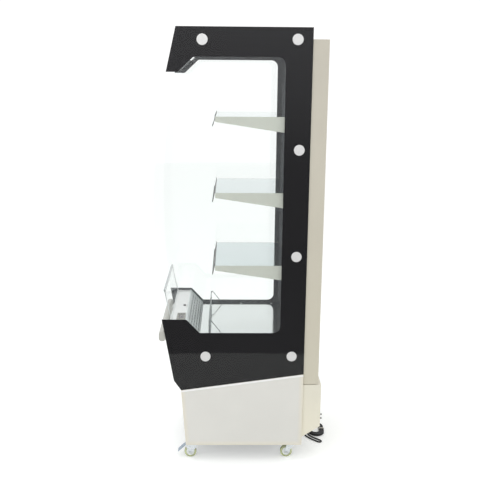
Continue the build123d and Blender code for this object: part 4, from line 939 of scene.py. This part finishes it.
# %% Wheel finish
wheel_resin = surface("wheel_resin", (0.80, 0.85, 0.50), 0.2, drift=0.08, drift_size=0.01, depth=0.02)
wheel_resin.node_tree.nodes["Principled BSDF"].inputs["Transmission Weight"].default_value = 0.5
hub_white = surface("hub_white", (0.86, 0.89, 0.88), 0.35, drift=0.05, drift_size=0.01)
WHEEL_PLACES = ("front_left", "front_right", "rear_left", "rear_right")
dress(wheel_resin, *(f"wheel_{place}" for place in WHEEL_PLACES))

# %% Hub covers and lock nuts
HUB_OUTER, HUB_INNER, HUB_THICK = 0.0172, 0.0076, 0.0024
HUB_SINK = 0.003
HUB_AROUND = 28
NUT_RADIUS, NUT_HEIGHT = 0.0052, 0.0034
NUT_SINK = 0.0024


def disc_ring(outer, inner, thick):
    """Flat ring with a raised, rounded rim, pointing to +Z."""
    bm = bmesh.new()
    face = thick * 0.7
    profile = [
        (inner, 0), (outer, 0), (outer, thick * 0.6),
        (outer - 0.0006, thick), (outer - 0.0014, face), (inner, face),
    ]
    loops = round_loops(bm, profile, HUB_AROUND)
    for i, loop in enumerate(loops):
        bridged(bm, loop, loops[(i + 1) % len(loops)])
    return bm


def hex_nut(radius, height):
    """Six-sided nut with a chamfered crown, pointing to +Z."""
    bm = bmesh.new()
    bmesh.ops.create_cone(bm, cap_ends=True, segments=6, radius1=radius, radius2=radius, depth=height,
                          matrix=Matrix.Translation((0, 0, height / 2)))
    tops = [e for e in bm.edges if min(v.co.z for v in e.verts) > height * 0.9]
    bmesh.ops.bevel(bm, geom=tops, offset=height * 0.18, segments=2, affect="EDGES")
    return bm


def joined(parts):
    """One bmesh from several (bmesh, matrix) pairs."""
    whole = bmesh.new()
    for bm, move in parts:
        bmesh.ops.transform(bm, matrix=move, verts=bm.verts)
        spare = bpy.data.meshes.new("spare")
        bm.to_mesh(spare)
        bm.free()
        whole.from_mesh(spare)
        bpy.data.meshes.remove(spare)
    return whole


def facing(sign):
    """Matrix that turns +Z to the given side along X."""
    return Matrix.Rotation(sign * math.pi / 2, 4, "Y")


def outer_faces(box_low, box_high, sink, axle):
    """Matrix for each side of a box that puts a model on the axle, sunk into that side."""
    return [
        Matrix.Translation((x - sign * sink, axle.y, axle.z)) @ facing(sign)
        for sign, x in ((-1, box_low.x), (1, box_high.x))
    ]


for place in WHEEL_PLACES:
    wheel_low, wheel_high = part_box(f"wheel_{place}")
    fork_low, fork_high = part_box(f"fork_{place}")
    axle = (wheel_low + wheel_high) / 2
    covers = joined([
        (disc_ring(HUB_OUTER, HUB_INNER, HUB_THICK), move)
        for move in outer_faces(wheel_low, wheel_high, HUB_SINK, axle)
    ])
    nuts = joined([
        (hex_nut(NUT_RADIUS, NUT_HEIGHT), move)
        for move in outer_faces(fork_low, fork_high, NUT_SINK, axle)
    ])
    for label, bm, finish, slot, body in (
        ("hub_covers", covers, hub_white, "wheel_tread", "roller"),
        ("axle_nuts", nuts, screw_steel, "castor_metal", "castor"),
    ):
        name = f"{label}_{place}"
        to_piece(name, smooth(shaped(name, bm, [finish])), f"{body}_{place}")

# %% [markdown]
# ## Display window of the controller
# The controller's recess holds a dark smoked window over its digits. With the power off it is a plain dark
# gloss, so it is one low slab with softened edges, and no figures.

# %% Display window
WINDOW_X, WINDOW_Y = 0.1635, -0.238
WINDOW_SIZE = (0.0392, 0.0192, 0.0007)
WINDOW_SUNK = 0.00065
WINDOW_BEVEL = 0.0002
window_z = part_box("controller")[1].z - WINDOW_SUNK
window_bm = bmesh.new()
bmesh.ops.create_cube(
    window_bm, size=1,
    matrix=Matrix.Translation((WINDOW_X, WINDOW_Y, window_z)) @ Matrix.Diagonal((*WINDOW_SIZE, 1)),
)
bmesh.ops.bevel(window_bm, geom=window_bm.edges, offset=WINDOW_BEVEL, segments=2, affect="EDGES")
window_smoke = surface("window_smoke", (0.02, 0.012, 0.012), 0.08, drift=0.1, coat=0.5)
to_piece("display_window", shaped("display_window", window_bm, [window_smoke]))
